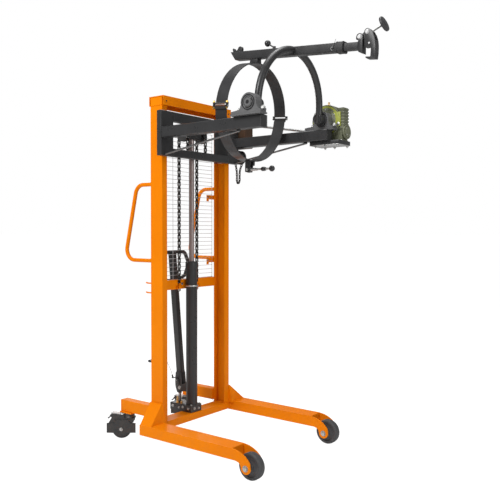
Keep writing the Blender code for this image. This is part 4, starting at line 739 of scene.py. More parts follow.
def chain_pieces():
    """The lift chains with their wrap over the pulleys, and the hand chain."""
    z0 = 1.961
    runs = {
        "fixed": [(-0.083, 1.009), (-0.083, z0)],
        "moving": [(-0.007, z0), (-0.007, 1.8455)],
        "wrap": arc((-0.045, z0), 0.038, 180.0, 0.0, 24),
    }
    for side in (-1, 1):
        name = side_name(side)
        for kind, path in runs.items():
            plates, pins = Shape(), Shape()
            wide = 0.019 if kind == "wrap" else 0.0225
            roller_chain(path, side * 0.085, plates, pins, wide, 0.0125, start={"fixed": 0, "wrap": 1, "moving": 1}[kind])
            body = {"fixed": "mast", "moving": "lift_ram", "wrap": "lift_ram"}[kind]
            made = [plates.done("lift_chain_plates_%s_%s" % (kind, name), CHAIN, body),
                    pins.done("lift_chain_pins_%s_%s" % (kind, name), ZINC, body)]
            if kind != "wrap":
                for obj in made:
                    obj.parent = None
                    obj.matrix_world = Matrix.Identity(4)
                    del obj["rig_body"]
                    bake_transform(obj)
                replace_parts(made[0], "lift_chain_%s_%s" % (kind, name))
    for side in (-1, 1):
        name = side_name(side)
        half = 0.011
        profile = [(0.0093, -half), (0.0445, -half), (0.0450, -half + 0.0006), (0.0450, -half + 0.0024), (0.0338, -half + 0.0032),
                   (0.0330, -half + 0.0040), (0.0330, half - 0.0040), (0.0338, half - 0.0032), (0.0450, half - 0.0024),
                   (0.0450, half - 0.0006), (0.0445, half), (0.0093, half)]
        wheel = Shape().lathe(profile, (-0.045, side * 0.085, z0), (0, 1, 0), 64, closed=True)
        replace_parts(wheel.done("chain_pulley_" + name, STEEL, "pulley_" + name), "pulley_" + name)
    caps = Shape()
    for side in (-1, 1):
        caps.ring((-0.045, side * 0.1015, z0), (0, 1, 0), 0.0095, 0.0012, 32)
    caps.done("pulley_circlips", ZINC, "lift_ram")

    links = Shape()
    wheel_at = (0.016, 1.852)
    r = 0.0402
    path = [Vector((x, 0.0, z)) for x, z in arc(wheel_at, r, 0.0, 180.0, 16)]
    for x, z in ((-0.0242, 1.836), (-0.0185, 1.800), (-0.0105, 1.765), (-0.0085, 1.735), (-0.0085, 1.690), (-0.0050, 1.6795),
                 (0.0035, 1.6755), (0.0120, 1.6795), (0.0155, 1.690), (0.0155, 1.735), (0.0180, 1.765), (0.0330, 1.800),
                 (0.0540, 1.836)):
        path.append(Vector((x, 0.0, z)))
    pitch = 0.0165
    points = resampled(path, pitch, closed=True)
    if len(points) % 2:
        points = resampled(path, pitch * len(points) / (len(points) + 1), closed=True)
    for i, a in enumerate(points):
        b = points[(i + 1) % len(points)]
        middle = (a + b) / 2 + Vector((0, 0.420, 0))
        along = (b - a).normalized()
        side = Vector((0, 1, 0)) if i % 2 else along.cross(Vector((0, 1, 0)))
        long, wide, thick = 0.0130, 0.0060, 0.0030
        oval = []
        for k in range(14):
            t = 2 * math.pi * k / 14
            oval.append(middle + along * (long * 0.42 * (1 if math.cos(t) > 0 else -1) + wide * math.cos(t)) + side * wide * math.sin(t))
        links.tube(oval, thick, 6, closed=True)
    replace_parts(links.done("hand_chain_links", CHAIN, "carriage"), "hand_chain")

    wheel = Shape()
    profile = [(0.0083, -0.016), (0.0440, -0.016), (0.0468, -0.0150), (0.0480, -0.0135), (0.0474, -0.0120), (0.0356, -0.0012),
               (0.0350, 0.0), (0.0356, 0.0012), (0.0474, 0.0120), (0.0480, 0.0135), (0.0468, 0.0150), (0.0440, 0.016), (0.0083, 0.016)]
    wheel.lathe(profile, (0.016, 0.420, 1.852), (0, 1, 0), 64, closed=True)
    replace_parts(wheel.done("hand_chain_wheel", DARK, "chain_wheel"), "chain_wheel")
    pockets = Shape()
    for k in range(10):
        angle = 2 * math.pi * k / 10
        for side in (-1, 1):
            at = (0.016 + 0.0425 * math.cos(angle), 0.420 + side * 0.0105, 1.852 + 0.0425 * math.sin(angle))
            pockets.ball(at, 0.0036, 12)
    pockets.done("hand_chain_pockets", STEEL, "chain_wheel")


# Hydraulic unit and pump lever


def pump_pieces():
    """The pump lever, the return spring, the fittings of the block and the release rod."""
    bar = Shape()
    x, z = -0.136, 0.305
    foot = (-0.166, 0.2686)
    head = [foot, (x - 0.014, foot[1]), (x + 0.004, z - 0.028), (x + 0.014, z - 0.016), (x + 0.018, z - 0.004),
            (x + 0.0165, z + 0.012), (-0.1280, 0.400), (-0.135, 0.415), (-0.168, 0.415), (-0.1795, 0.400),
            (-0.184, 0.340), (-0.183, 0.318), (-0.180, 0.300)]
    bar.prism(head, "XZ", -0.020, 0.020, 0.0012)
    a, b = Vector((-0.152, 0.0, 0.400)), Vector((-0.2280, 0.0, 1.205))
    lean = math.atan2(b.x - a.x, b.z - a.z)
    middle = (a + b) / 2
    half = (b - a).length / 2
    bar.box((middle.x - 0.0215, middle.x + 0.0215), (-0.018, 0.018), (middle.z - half, middle.z + half), 0.0035,
            Matrix.Rotation(lean, 4, "Y"))
    corners = [(0.0, 1.008), (-0.065, 1.014), (-0.125, 1.042), (-0.162, 1.120), (-0.120, 1.202), (0.120, 1.202),
               (0.162, 1.120), (0.125, 1.042), (0.065, 1.014), (0.0, 1.008)]
    loop = rounded([(b.x, y, h) for y, h in corners], 0.040, 10)[:-1]
    bar.tube(loop, 0.0125, 20, closed=True)
    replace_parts(bar.done("pump_lever", DARK, "tiller"), "tiller")
    beads = Shape()
    beads.weld([(-0.2385, -0.017, 1.020), (-0.2385, 0.017, 1.020)], 0.0024)
    beads.weld([(-0.1960, -0.017, 1.020), (-0.1960, 0.017, 1.020)], 0.0024)
    beads.weld([(-0.1705, -0.0195, 0.4135), (-0.1340, -0.0195, 0.4135)], 0.0022)
    beads.weld([(-0.1705, 0.0195, 0.4135), (-0.1340, 0.0195, 0.4135)], 0.0022)
    beads.done("pump_lever_beads", DARK, "tiller")
    pins = Shape()
    pins.bolt((x, -0.0262, z), (0, -1, 0), 0.017, 0.005)
    pins.bolt((x, 0.0262, z), (0, 1, 0), 0.017, 0.005, stub=0.003)
    pins.done("pump_pivot_bolt", ZINC, "mast")
    Shape().bolt((-0.163, -0.0202, 0.352), (0, -1, 0), 0.013, 0.005).done("cam_screw", ZINC, "tiller")

    spring = Shape()
    low, high = 0.2135, 0.2608
    path = []
    turns, steps = 6, 18
    for i in range(turns * steps + 1):
        angle = 2 * math.pi * i / steps
        path.append((-0.158 + 0.0110 * math.cos(angle), 0.0110 * math.sin(angle), low + (high - low) * i / (turns * steps)))
    obj = spring.tube(path, 0.00125, 8).done("pump_return_spring", ZINC, None)
    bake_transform(obj)
    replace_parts(obj, "pump_spring")

    fittings = Shape()
    for px, pz, r in ((-0.176, 0.185, 0.014), (-0.120, 0.181, 0.011), (-0.085, 0.188, 0.013), (-0.038, 0.182, 0.012)):
        fittings.bolt((px, -0.050, pz), (0, -1, 0), r, 0.005)
    fittings.bolt((-0.012, -0.020, 0.184), (1, 0, 0), 0.014, 0.006)
    fittings.bolt((-0.012, 0.022, 0.180), (1, 0, 0), 0.012, 0.005)
    fittings.bolt((-0.120, 0.030, 0.205), (0, 0, 1), 0.014, 0.008, stub=0.010)
    for px, py in ((-0.088, -0.040), (-0.088, 0.040), (-0.020, -0.040), (-0.020, 0.040)):
        fittings.lathe([(0.0, 0.0), (0.0062, 0.0), (0.0065, 0.0006), (0.0065, 0.0058), (0.0058, 0.0066), (0.0034, 0.0066),
                        (0.0034, 0.0030), (0.0, 0.0030)], (px, py, 0.205), (0, 0, 1), 24)
    fittings.done("block_plugs", ZINC, "mast")
    brass = Shape()
    brass.bolt((-0.146, -0.036, 0.205), (0, 0, 1), 0.017, 0.010)
    brass.lathe([(0.0, 0.0), (0.0062, 0.0), (0.0062, 0.010), (0.0078, 0.012), (0.0078, 0.020), (0.0050, 0.024), (0.0050, 0.034), (0.0, 0.036)],
                (-0.146, -0.036, 0.215), (0, 0, 1), 24)
    brass.bolt((-0.115, -0.030, 0.205), (0, 0, 1), 0.015, 0.012)
    brass.done("block_brass_fittings", BRASS, "mast")
    collar = Shape()
    collar.ring((-0.052, 0, 1.1405), (0, 0, 1), 0.0395, 0.0012, 56)
    collar.ring((-0.052, 0, 1.1005), (0, 0, 1), 0.0378, 0.0012, 56)
    for k in range(4):
        t = math.radians(45 + 90 * k)
        collar.lathe([(0.0, 0.0), (0.0030, 0.0), (0.0030, 0.0012), (0.0, 0.0012)],
                     (-0.052 + 0.0285 * math.cos(t), 0.0285 * math.sin(t), 1.1398), (0, 0, 1), 14)
    collar.done("cylinder_head_rings", DARK, "mast")
    Shape().lathe([(0.0174, 0.0), (0.0225, 0.0), (0.0215, 0.0040), (0.0190, 0.0060), (0.0174, 0.0062)], (-0.052, 0, 1.1400), (0, 0, 1), 40,
                  closed=True).done("ram_wiper", GRIP, "mast")
    bead = Shape()
    bead.weld([(-0.052 + 0.0385 * math.cos(t), 0.0385 * math.sin(t), 0.2065) for t in (2 * math.pi * k / 48 for k in range(48))], 0.0022, True)
    bead.done("cylinder_foot_bead", DARK, "mast")

    rod = Shape()
    path = rounded([(-0.166, -0.066, 0.394), (-0.165, -0.085, 0.436), (-0.165, -0.122, 0.500), (-0.158, -0.200, 0.522), (-0.138, -0.286, 0.524)],
                   0.06, 8)
    rod.tube(path, 0.0016, 8)
    rod.done("release_cable_sleeve", WIRE, "mast")
    ends = Shape()
    ends.rod((-0.1665, -0.060, 0.374), (-0.166, -0.066, 0.394), 0.0062, 0.0045, 20, 0.0010)
    ends.rod((-0.142, -0.272, 0.524), (-0.1335, -0.305, 0.524), 0.0095, 0.0080, 24, 0.0015)
    ends.done("release_cable_ends", BLACK, "mast")
    arm = Shape()
    arm.prism([(-0.151, 0.322), (-0.140, 0.340), (-0.160, 0.372), (-0.172, 0.374), (-0.172, 0.362), (-0.160, 0.352)], "XZ", -0.0305, -0.0270)
    arm.box((-0.173, -0.160), (-0.066, -0.0275), (0.3695, 0.3735), 0.0006)
    arm.box((-0.1445, -0.1000), (-0.305, -0.297), (0.5170, 0.5310), 0.0010)
    arm.done("release_cable_brackets", DARK, "mast")


# Carriage, arms, bearings and clamp drive


def carriage_pieces():
    """Welds, bearing details, the worm gearbox and the bevel box."""
    beads = Shape()
    for side in (-1, 1):
        y = side * 0.2642
        for z0, z1 in ((1.800, 1.849), (2.014, 2.072)):
            beads.weld([(0.0425, y, z0 + 0.002), (0.0425, y, z1 - 0.002)], 0.0026)
            beads.weld([(0.0035, y, z0 + 0.002), (0.0035, y, z1 - 0.002)], 0.0026)
        beads.weld(loop_of("YZ", tuple(sorted((side * 0.3105, side * 0.3715))), (1.9055, 1.9695), 0.0432), 0.0030, True)
        beads.weld([(0.6235, side * 0.340, 1.9035), (0.6010, side * 0.3455, 1.9030), (0.6010, side * 0.3345, 1.9030)], 0.0022)
        beads.weld([(0.7825, side * 0.3105, 1.9055), (0.7825, side * 0.3715, 1.9055), (0.7825, side * 0.3715, 1.9695),
                    (0.7825, side * 0.3105, 1.9695)], 0.0016, True)
    beads.done("carriage_beads", DARK, "carriage")

    housing, insert, seal = Shape(), Shape(), Shape()
    bolts, nipples = Shape(), Shape()
    ax, az = AXIS[0], AXIS[2]
    for side in (-1, 1):
        middle = side * 0.371
        for end in (-1, 1):
            face = middle + end * 0.029
            out = (0, end, 0)
            housing.lathe([(0.0365, 0.0), (0.0470, 0.0), (0.0485, -0.0015), (0.0485, -0.0050), (0.0365, -0.0050)], (ax, face - end * 0.0025, az), out, 56,
                          closed=True)
            seal.lathe([(0.0288, -0.0010), (0.0300, 0.0), (0.0318, 0.0003), (0.0330, -0.0010)], (ax, face + end * 0.0012, az), out, 56, closed=True)
            seal.lathe([(0.0378, -0.0010), (0.0384, 0.0), (0.0418, 0.0), (0.0424, -0.0010)], (ax, face + end * 0.0012, az), out, 56, closed=True)
            insert.lathe([(0.0254, 0.0), (0.0282, 0.0), (0.0288, 0.0008), (0.0288, 0.0040), (0.0280, 0.0050), (0.0254, 0.0050)],
                         (ax, face + end * 0.0008, az), out, 48, closed=True)
        top = 1.9703 + 0.008 + 0.019
        for end in (-1, 1):
            bolts.bolt((ax + end * 0.0800, middle, top - 0.0030), (0, 0, 1), 0.024, 0.011, stub=0.006)
            housing.lathe([(0.0, 0.0), (0.0185, 0.0), (0.0175, 0.0035), (0.0, 0.0035)], (ax + end * 0.0800, middle, top - 0.0060), (0, 0, 1), 32)
        nipples.lathe([(0.0, 0.0), (0.0042, 0.0), (0.0042, 0.0030), (0.0022, 0.0036), (0.0022, 0.0060), (0.0030, 0.0072), (0.0020, 0.0095),
                       (0.0, 0.0098)], (ax - 0.020, middle, az + 0.0482), (-0.25, 0, 1), 18)
    housing.done("bearing_rims", CAST, "carriage")
    insert.done("bearing_inner_rings", STEEL, "carriage")
    seal.done("bearing_seals", BLACK, "carriage")
    bolts.done("bearing_bolts", ZINC, "carriage")
    nipples.done("grease_nipples", BRASS, "carriage")

    ribs = Shape()
    for k in range(7):
        z = 1.988 + 0.0190 * k
        ribs.box((0.7900, 0.8475), (0.4080, 0.4705), (z - 0.0050, z + 0.0050), 0.0020)
    for t in range(-60, 61, 15):
        angle = math.radians(90 + t)
        c, s = math.cos(angle), math.sin(angle)
        a = Vector((ax + 0.098 * c, 0.4075, az + 0.098 * s))
        b = Vector((ax + 0.098 * c, 0.4710, az + 0.098 * s))
        ribs.tube([a, b], 0.0034, 10)
    ribs.ring((ax, 0.4055, az), (0, 1, 0), 0.0965, 0.0042, 64)
    ribs.ring((ax, 0.4730, az), (0, 1, 0), 0.0965, 0.0042, 64)
    ribs.lathe([(0.0365, 0.0), (0.0440, 0.0), (0.0450, 0.0012), (0.0450, 0.0100), (0.0440, 0.0112), (0.0365, 0.0112)],
               (0.8405, 0.445, 1.962), (1, 0, 0), 48, closed=True)
    ribs.lathe([(0.0, 0.0), (0.0320, 0.0), (0.0330, 0.0010), (0.0330, 0.0045), (0.0320, 0.0055), (0.0, 0.0055)], (0.8515, 0.445, 1.962), (1, 0, 0), 48)
    ribs.done("gearbox_ribs", OLIVE, "carriage")
    cover = Shape()
    cover.lathe([(0.0256, 0.0), (0.0800, 0.0), (0.0815, 0.0012), (0.0815, 0.0030), (0.0560, 0.0048), (0.0520, 0.0075), (0.0256, 0.0078)],
                (ax, 0.4052, az), (0, -1, 0), 64, closed=True)
    cover.done("gearbox_cover", OLIVE, "carriage")
    patch = Shape()
    patch.box((0.7640, 0.8250), (0.4015, 0.4065), (1.9980, 2.0860), 0.0020)
    patch.lathe([(0.0810, 0.0), (0.0960, 0.0), (0.0975, 0.0012), (0.0975, 0.0030), (0.0810, 0.0030)], (ax, 0.4058, az), (0, -1, 0), 64, closed=True)
    patch.done("gearbox_gasket_band", LIME, "carriage")
    outer = Shape()
    outer.lathe([(0.0256, 0.0), (0.0660, 0.0), (0.0675, 0.0012), (0.0675, 0.0030), (0.0540, 0.0046), (0.0500, 0.0058), (0.0256, 0.0060)],
                (ax, 0.4740, az), (0, 1, 0), 64, closed=True)
    outer.done("gearbox_outer_cover", OLIVE, "carriage")
    small = Shape()
    for k in range(6):
        angle = math.radians(30 + 60 * k)
        c, s = math.cos(angle), math.sin(angle)
        small.bolt((ax + 0.0700 * c, 0.4025, az + 0.0700 * s), (0, -1, 0), 0.0085, 0.0035)
        small.bolt((ax + 0.0605 * c, 0.4765, az + 0.0605 * s), (0, 1, 0), 0.0085, 0.0035)
    for k in range(4):
        angle = math.radians(45 + 90 * k)
        small.bolt((0.8568, 0.445 + 0.0262 * math.cos(angle), 1.962 + 0.0262 * math.sin(angle)), (1, 0, 0), 0.0065, 0.0028)
    for px, py in ((0.672, 0.360), (0.742, 0.360), (0.672, 0.478), (0.742, 0.478), (0.832, 0.478), (0.832, 0.360)):
        small.bolt((px, py, 1.8800), (0, 0, -1), 0.0145, 0.0070, stub=0.0060)
    for px in (0.668, 0.832):
        for py in (0.4160, 0.4660):
            small.bolt((px, py + (0.010 if py > 0.44 else -0.010), 1.9047), (0, 0, 1), 0.013, 0.006)
    small.lathe([(0.0, 0.0), (0.0110, 0.0), (0.0118, 0.0010), (0.0118, 0.0032), (0.0105, 0.0040), (0.0, 0.0040)], (0.8090, 0.4045, 2.0110), (0, -1, 0), 32)
    small.done("gearbox_bolts", ZINC, "carriage")
    plugs = Shape()
    plugs.bolt((0.7206, 0.4400, 2.1335), (0, 0, 1), 0.017, 0.009)
    plugs.lathe([(0.0, 0.0), (0.0045, 0.0), (0.0045, 0.008), (0.0070, 0.010), (0.0070, 0.015), (0.0, 0.017)], (0.7206, 0.4400, 2.1425), (0, 0, 1), 20)
    plugs.bolt((0.6620, 0.4395, 1.9400), (-0.6, 0, -0.4), 0.013, 0.005)
    plugs.done("gearbox_breather", BRASS, "carriage")
    pads = Shape()
    pads.box((0.6385, 0.8475), (0.3435, 0.4885), (1.8778, 1.8818), 0.0010)
    pads.done("gearbox_pale_plate", ZINC, "carriage")
    skin = Shape()
    skin.box((0.6385, 0.8475), (0.3435, 0.4885), (1.8820, 1.9056), 0.0015)
    skin.done("gearbox_dark_plate", DARK, "carriage")

    box = Shape()
    for px in (-0.008, 0.088):
        for pz in (1.925, 2.079):
            box.bolt((px, 0.4620, pz), (0, 1, 0), 0.011, 0.0045)
    for py in (0.386, 0.450):
        for pz in (1.925, 2.079):
            box.bolt((0.1000, py, pz), (1, 0, 0), 0.010, 0.0040)
    box.done("bevel_box_bolts", STEEL, "carriage")
    ribs = Shape()
    ribs.box((-0.0175, 0.0975), (0.3745, 0.4640), (1.9990, 2.0050), 0.0010)
    ribs.lathe([(0.0135, 0.0), (0.0240, 0.0), (0.0250, 0.0010), (0.0240, 0.0018), (0.0135, 0.0018)], (0.1000, 0.440, 2.0695), (1, 0, 0), 32, closed=True)
    ribs.done("bevel_box_rib", BROWN, "carriage")
    cross = Shape()
    a, b = Vector((0.1022, 0.440, 2.0695)), Vector((0.6190, 0.440, 1.9765))
    along = (b - a).normalized()
    for at in (a + along * 0.0165, b - along * 0.0165):
        cross.rod(at - Vector((0, 0.0150, 0)), at + Vector((0, 0.0150, 0)), 0.0038, sides=16)
        up = along.cross(Vector((0, 1, 0)))
        cross.rod(at - up * 0.0150, at + up * 0.0150, 0.0038, sides=16)
    cross.done("drive_joint_pins", STEEL, "drive_shaft")
    stub = Shape()
    stub.bolt((0.016, 0.4402, 1.852), (0, 1, 0), 0.013, 0.005)
    stub.done("chain_wheel_nut", ZINC, "carriage")


# Clamp


def clamp_pieces():
    """The arch, the square tube with its collar, band details, hook and levers."""
    frame_piece = Shape(CLAMP)
    crown = [(0.0, y, w) for y, w in arc((0.0, 0.037), 0.314, 0.0, 180.0, 64)]
    path = [(0.0, 0.314, -0.030), (0.0, 0.314, 0.0), *crown, (0.0, -0.314, 0.0), (0.0, -0.314, -0.030)]
    frame_piece.tube(path, 0.021, 32)
    frame_piece.rod((0, -0.310, 0), (0, -0.405, 0), 0.025, sides=48, edge=0.0015)
    frame_piece.rod((0, 0.310, 0), (0, 0.483, 0), 0.025, sides=48, edge=0.0015)
    for side in (-1, 1):
        frame_piece.rod((0, side * 0.2975, 0), (0, side * 0.3385, 0), 0.0335, sides=48, edge=0.0025)
    made = frame_piece.done("clamp_arch", DARK, "clamp")
    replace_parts(made, "clamp_yoke")

    outer, inner = 0.025, 0.0203
    w = 0.345
    rear_high, rear_low = -0.459, -0.419

    def rear(p):
        return rear_low + (rear_high - rear_low) * (p[1] - (w - outer)) / (2 * outer)

    section = rounded_square((0.0, w), outer, 0.0050)
    bore = rounded_square((0.0, w), inner, 0.0020)
    Shape(CLAMP).sleeve(section, bore, "YZ", rear, 0.292).done("square_tube", DARK, "clamp")
    collar = Shape(CLAMP)
    rim = rounded_square((0.0, w), 0.0300, 0.0100)
    lip = rounded_square((0.0, w), 0.0310, 0.0110)
    collar.sleeve(rim, rounded_square((0.0, w), 0.0206, 0.0020), "YZ", 0.2905, 0.3350)
    collar.sleeve(lip, rounded_square((0.0, w), 0.0290, 0.0090), "YZ", 0.2925, 0.2985)
    collar.sleeve(lip, rounded_square((0.0, w), 0.0290, 0.0090), "YZ", 0.3270, 0.3330)
    collar.rod((0.3120, 0.0, w + 0.029), (0.3120, 0.0, w + 0.0335), 0.010, sides=32, edge=0.0012)
    collar.done("tube_collar", DARK, "clamp")
    seat = Shape(CLAMP)
    seat.prism([(-0.308, 0.2934), (-0.248, 0.2934), (-0.252, 0.323), (-0.304, 0.323)], "XZ", -0.020, 0.020, 0.0015)
    seat.done("band_seat", DARK, "clamp")

    claws = Shape(CLAMP)
    top = w + outer
    outline = [(-0.446, top - 0.003), (-0.386, top - 0.003), (-0.384, top + 0.018), (-0.388, top + 0.030),
               (-0.400, top + 0.034), (-0.411, top + 0.029), (-0.414, top + 0.020), (-0.421, top + 0.011),
               (-0.430, top + 0.008), (-0.438, top + 0.011), (-0.444, top + 0.021), (-0.452, top + 0.025),
               (-0.457, top + 0.019), (-0.452, top + 0.006)]
    for side in (-1, 1):
        claws.prism(outline, "XZ", side * 0.0065 - 0.0030, side * 0.0065 + 0.0030, 0.0006)
    claws.done("rear_claws", DARK, "clamp")

    beads = Shape(CLAMP)
    for side in (-1, 1):
        y = side * 0.0255
        beads.weld([(-0.024, y, 0.3235), (-0.016, y * 1.05, 0.333), (0.0, y * 1.08, 0.337), (0.016, y * 1.05, 0.333), (0.024, y, 0.3235)], 0.0026)
        beads.weld([(-0.307, side * 0.0205, 0.2938), (-0.249, side * 0.0205, 0.2938)], 0.0022)
        beads.weld([(-0.303, side * 0.0205, 0.3203), (-0.253, side * 0.0205, 0.3203)], 0.0022)
        beads.weld([(-0.445, side * 0.0105, top + 0.0005), (-0.388, side * 0.0105, top + 0.0005)], 0.0018)
        for dy in (-0.0215, 0.0215):
            beads.ring((0.0, side * 0.314 + dy * 0.9, 0.0), (0, 1, 0), 0.0262, 0.0022)
    beads.weld(loop_of("YZ", (-0.0256, 0.0256), (w - 0.0256, w + 0.0256), 0.2893), 0.0024, True)
    beads.done("clamp_beads", DARK, "clamp")

    # Black discs on the shaft ends are painted shade: they stand in for the dark inside of the centre bores.
    bore_painted_shade = Shape(CLAMP)
    bore_painted_shade.lathe([(0.0, 0.0), (0.0105, 0.0), (0.0112, 0.0006), (0.0, 0.0007)], (0.0, -0.4048, 0.0), (0, -1, 0), 32)
    bore_painted_shade.lathe([(0.0, 0.0), (0.0105, 0.0), (0.0112, 0.0006), (0.0, 0.0007)], (0.0, 0.4828, 0.0), (0, 1, 0), 32)
    bore_painted_shade.done("shaft_bore_painted_shade", BLACK, "clamp")
    face = Shape(CLAMP)
    face.lathe([(0.0110, 0.0), (0.0236, 0.0), (0.0228, 0.0008), (0.0110, 0.0008)], (0.0, -0.4049, 0.0), (0, -1, 0), 48, closed=True)
    face.lathe([(0.0110, 0.0), (0.0236, 0.0), (0.0228, 0.0008), (0.0110, 0.0008)], (0.0, 0.4829, 0.0), (0, 1, 0), 48, closed=True)
    face.done("shaft_faces", CAST, "clamp")

    clip = Shape(CLAMP)
    u0, w0 = 0.270, 0.352
    ring = [(u0 + 0.0105 * math.cos(t), -0.0268, w0 - 0.012 + 0.0125 * math.sin(t)) for t in
            (math.radians(60 + 300 * k / 20) for k in range(21))]
    tail = [(u0 + 0.0055, -0.0268, w0 + 0.0005), (u0 + 0.010, -0.0268, w0 + 0.018), (u0 + 0.0165, -0.0262, w0 + 0.036)]
    clip.tube([*reversed(ring), (u0 + 0.0090, -0.0268, w0 + 0.010), (u0 + 0.0165, -0.0262, w0 + 0.036)], 0.0011, 8)
    del tail
    clip.rod((u0, -0.0250, w0 - 0.008), (u0, -0.0330, w0 - 0.008), 0.0050, sides=24, edge=0.0008)
    clip.rod((u0, 0.0250, w0 - 0.008), (u0, 0.0330, w0 - 0.008), 0.0045, sides=24, edge=0.0008)
    clip.done("tube_pin_and_clip", STEEL, "clamp")

    gold = Shape(CLAMP)
    copper = Shape(CLAMP)
    zinc = Shape(CLAMP)
    for u in (-0.327, -0.229):
        gold.bolt((u, -0.2990, 0.0185), (0, 0, 1), 0.0130, 0.0070, stub=0.0040)
        gold.bolt((u, -0.2990, -0.0068), (0, 0, -1), 0.0130, 0.0070, washer=False, stub=0.0050)
        gold.rod((u, -0.2990, -0.0065), (u, -0.2990, 0.0130), 0.0030, sides=16)
    copper.tube([(-0.3150, -0.3025, 0.0), (-0.2410, -0.3025, 0.0)], 0.0018, 10)
    copper.box((-0.3100, -0.2460), (-0.3030, -0.2990), (0.0065, 0.0100), 0.0008)
    for side in (-1, 1):
        for end in (-1, 1):
            zinc.lathe([(0.0, 0.0), (0.0052, 0.0), (0.0055, 0.0006), (0.0048, 0.0022), (0.0, 0.0026)],
                       (-0.278 + end * 0.0540, side * 0.2965, 0.0), (end, 0, 0), 20)
        edge = [(-0.331, side * 0.3030, 0.0180), (-0.225, side * 0.3030, 0.0180)]
        zinc.tube(edge, 0.0006, 6)
    gold.done("band_lug_bolts", GOLD, "clamp")
    copper.done("band_lug_strip", COPPER, "clamp")
    zinc.done("band_hinge_pin_heads", ZINC, "clamp")

    hook_at, stop_at = (0.4730, 0.4145), (0.4300, 0.3895)
    jaw = Shape(CLAMP)
    bar = rounded_square((0.0, w), 0.0200, 0.0030)
    jaw.sleeve(bar, rounded_square((0.0, w), 0.0165, 0.0010), "YZ", -0.340, 0.430)
    cheek = [*arc(stop_at, 0.0200, 185.0, 20.0, 16), (0.4500, 0.3840), (0.4495, 0.3732), (0.4548, 0.3015), (0.4300, 0.3104),
             (0.4279, 0.3240), (0.4240, 0.3245), (0.4240, 0.3775), (0.4103, 0.3775)]
    jaw.prism(cheek, "XZ", -0.022, 0.022, 0.0012)
    lug = [(0.4380, 0.3800), (0.4380, 0.4060), *arc(hook_at, 0.0150, 130.0, -50.0, 12), (0.4540, 0.3800)]
    jaw.prism(lug, "XZ", -0.0105, 0.0105)
    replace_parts(jaw.done("jaw_tube", DARK, "inner_tube"), "inner_tube")

    hook = Shape(CLAMP)
    web = [(0.5225, 0.3700), (0.5287, 0.3401), (0.5309, 0.3031), (0.5297, 0.2709), (0.4824, 0.2728), (0.4737, 0.2790),
           (0.4755, 0.2835), (0.5006, 0.2824), (0.5033, 0.2866), (0.5026, 0.3287), (0.4992, 0.3335), (0.4760, 0.3344),
           (0.4640, 0.3334)]
    hook.prism([*web, (0.4600, 0.3700)], "XZ", -0.0112, 0.0112)
    flank = [(0.4600, 0.3700), (0.4612, 0.3884), (0.4580, 0.4020), *arc(hook_at, 0.0182, 200.0, 60.0, 12), (0.4911, 0.4251),
             (0.5001, 0.4148), (0.5116, 0.3978)]
    for side in (-1, 1):
        low, high = sorted((side * 0.0110, side * 0.0195))
        hook.prism([*web, *flank], "XZ", low, high, 0.0010)
    hook.box((0.4900, 0.5020), (-0.0112, 0.0112), (0.4040, 0.4160), 0.0008, Matrix.Rotation(math.radians(40.0), 4, "Y"))
    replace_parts(hook.done("hook_plates", DARK, "chime_hook"), "chime_hook")

    dome = [(0.0, 0.0), (0.0124, 0.0), (0.0130, 0.0010), (0.0124, 0.0020), (0.0108, 0.0030), (0.0102, 0.0060), (0.0085, 0.0078), (0.0, 0.0082)]
    jaw_bolts = Shape(CLAMP)
    for at, out in ((stop_at, 0.0220), (hook_at, 0.0196)):
        for side in (-1, 1):
            jaw_bolts.lathe(dome, (at[0], side * out, at[1]), (0, side, 0), 40)
    jaw_bolts.done("jaw_bolts", CAP, "inner_tube")
    beads = Shape(CLAMP)
    for side in (-1, 1):
        beads.weld([(0.4228, side * 0.0205, 0.3655), (0.4228, side * 0.0205, 0.3245)], 0.0020)
    beads.weld([(0.4228, -0.0195, 0.3655), (0.4228, 0.0195, 0.3655)], 0.0020)
    beads.weld([(0.4228, -0.0195, 0.3245), (0.4228, 0.0195, 0.3245)], 0.0020)
    beads.done("jaw_beads", DARK, "inner_tube")
    pin = Shape(CLAMP)
    for side in (-1, 1):
        pin.lathe([(0.0, 0.0), (0.0052, 0.0), (0.0052, 0.0010), (0.0, 0.0014)], (0.4894, side * 0.0194, 0.3537), (0, side, 0), 24)
    pin.done("hook_spring_pin", CAP, "chime_hook")
    ridge = Shape(CLAMP)
    back = [(0.5290, 0.274), (0.5300, 0.303), (0.5278, 0.340), (0.5222, 0.369), (0.5105, 0.3980)]
    for side in (-1, 1):
        ridge.tube([(u, side * 0.0180, v) for u, v in back], 0.0022, 10)
    ridge.done("hook_ridges", DARK, "chime_hook")

    a, b = Vector((0.492, 0, 0.416)), Vector((0.559, 0, 0.450))
    along = (b - a).normalized()
    knob = Shape(CLAMP)
    profile = [(0.0, -0.0070), (0.0375, -0.0070), (0.0402, -0.0062), (0.0413, -0.0040), (0.0415, 0.0), (0.0413, 0.0040),
               (0.0402, 0.0062), (0.0375, 0.0070), (0.0200, 0.0064), (0.0150, 0.0075), (0.0120, 0.0100), (0.0, 0.0104)]
    knob.lathe(profile, b, along, 72)
    knob.rod(b - along * 0.016, b - along * 0.006, 0.0110, 0.0125, 32, 0.0010)
    matrix = Matrix.Translation(b) @ along.to_track_quat("Z", "Y").to_matrix().to_4x4()
    for k in range(30):
        t = 2 * math.pi * k / 30
        c, s = math.cos(t), math.sin(t)
        knob.tube([matrix @ Vector((0.0409 * c, 0.0409 * s, -0.0046)), matrix @ Vector((0.0409 * c, 0.0409 * s, 0.0046))], 0.0012, 8)
    made = knob.done("clamp_knob", GRIP, "hook_screw")
    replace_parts(made, "hook_screw")
    screw = Shape(CLAMP)
    end = (b - a).length - 0.010
    count = int(end / 0.0011)
    thread = []
    for k in range(count + 1):
        thread.append((0.0055 if k % 2 else 0.0047, end * k / count))
    screw.lathe([(0.0, 0.0), *thread, (0.0, end)], a, along, 24)
    screw.done("clamp_screw", ZINC, "hook_screw")

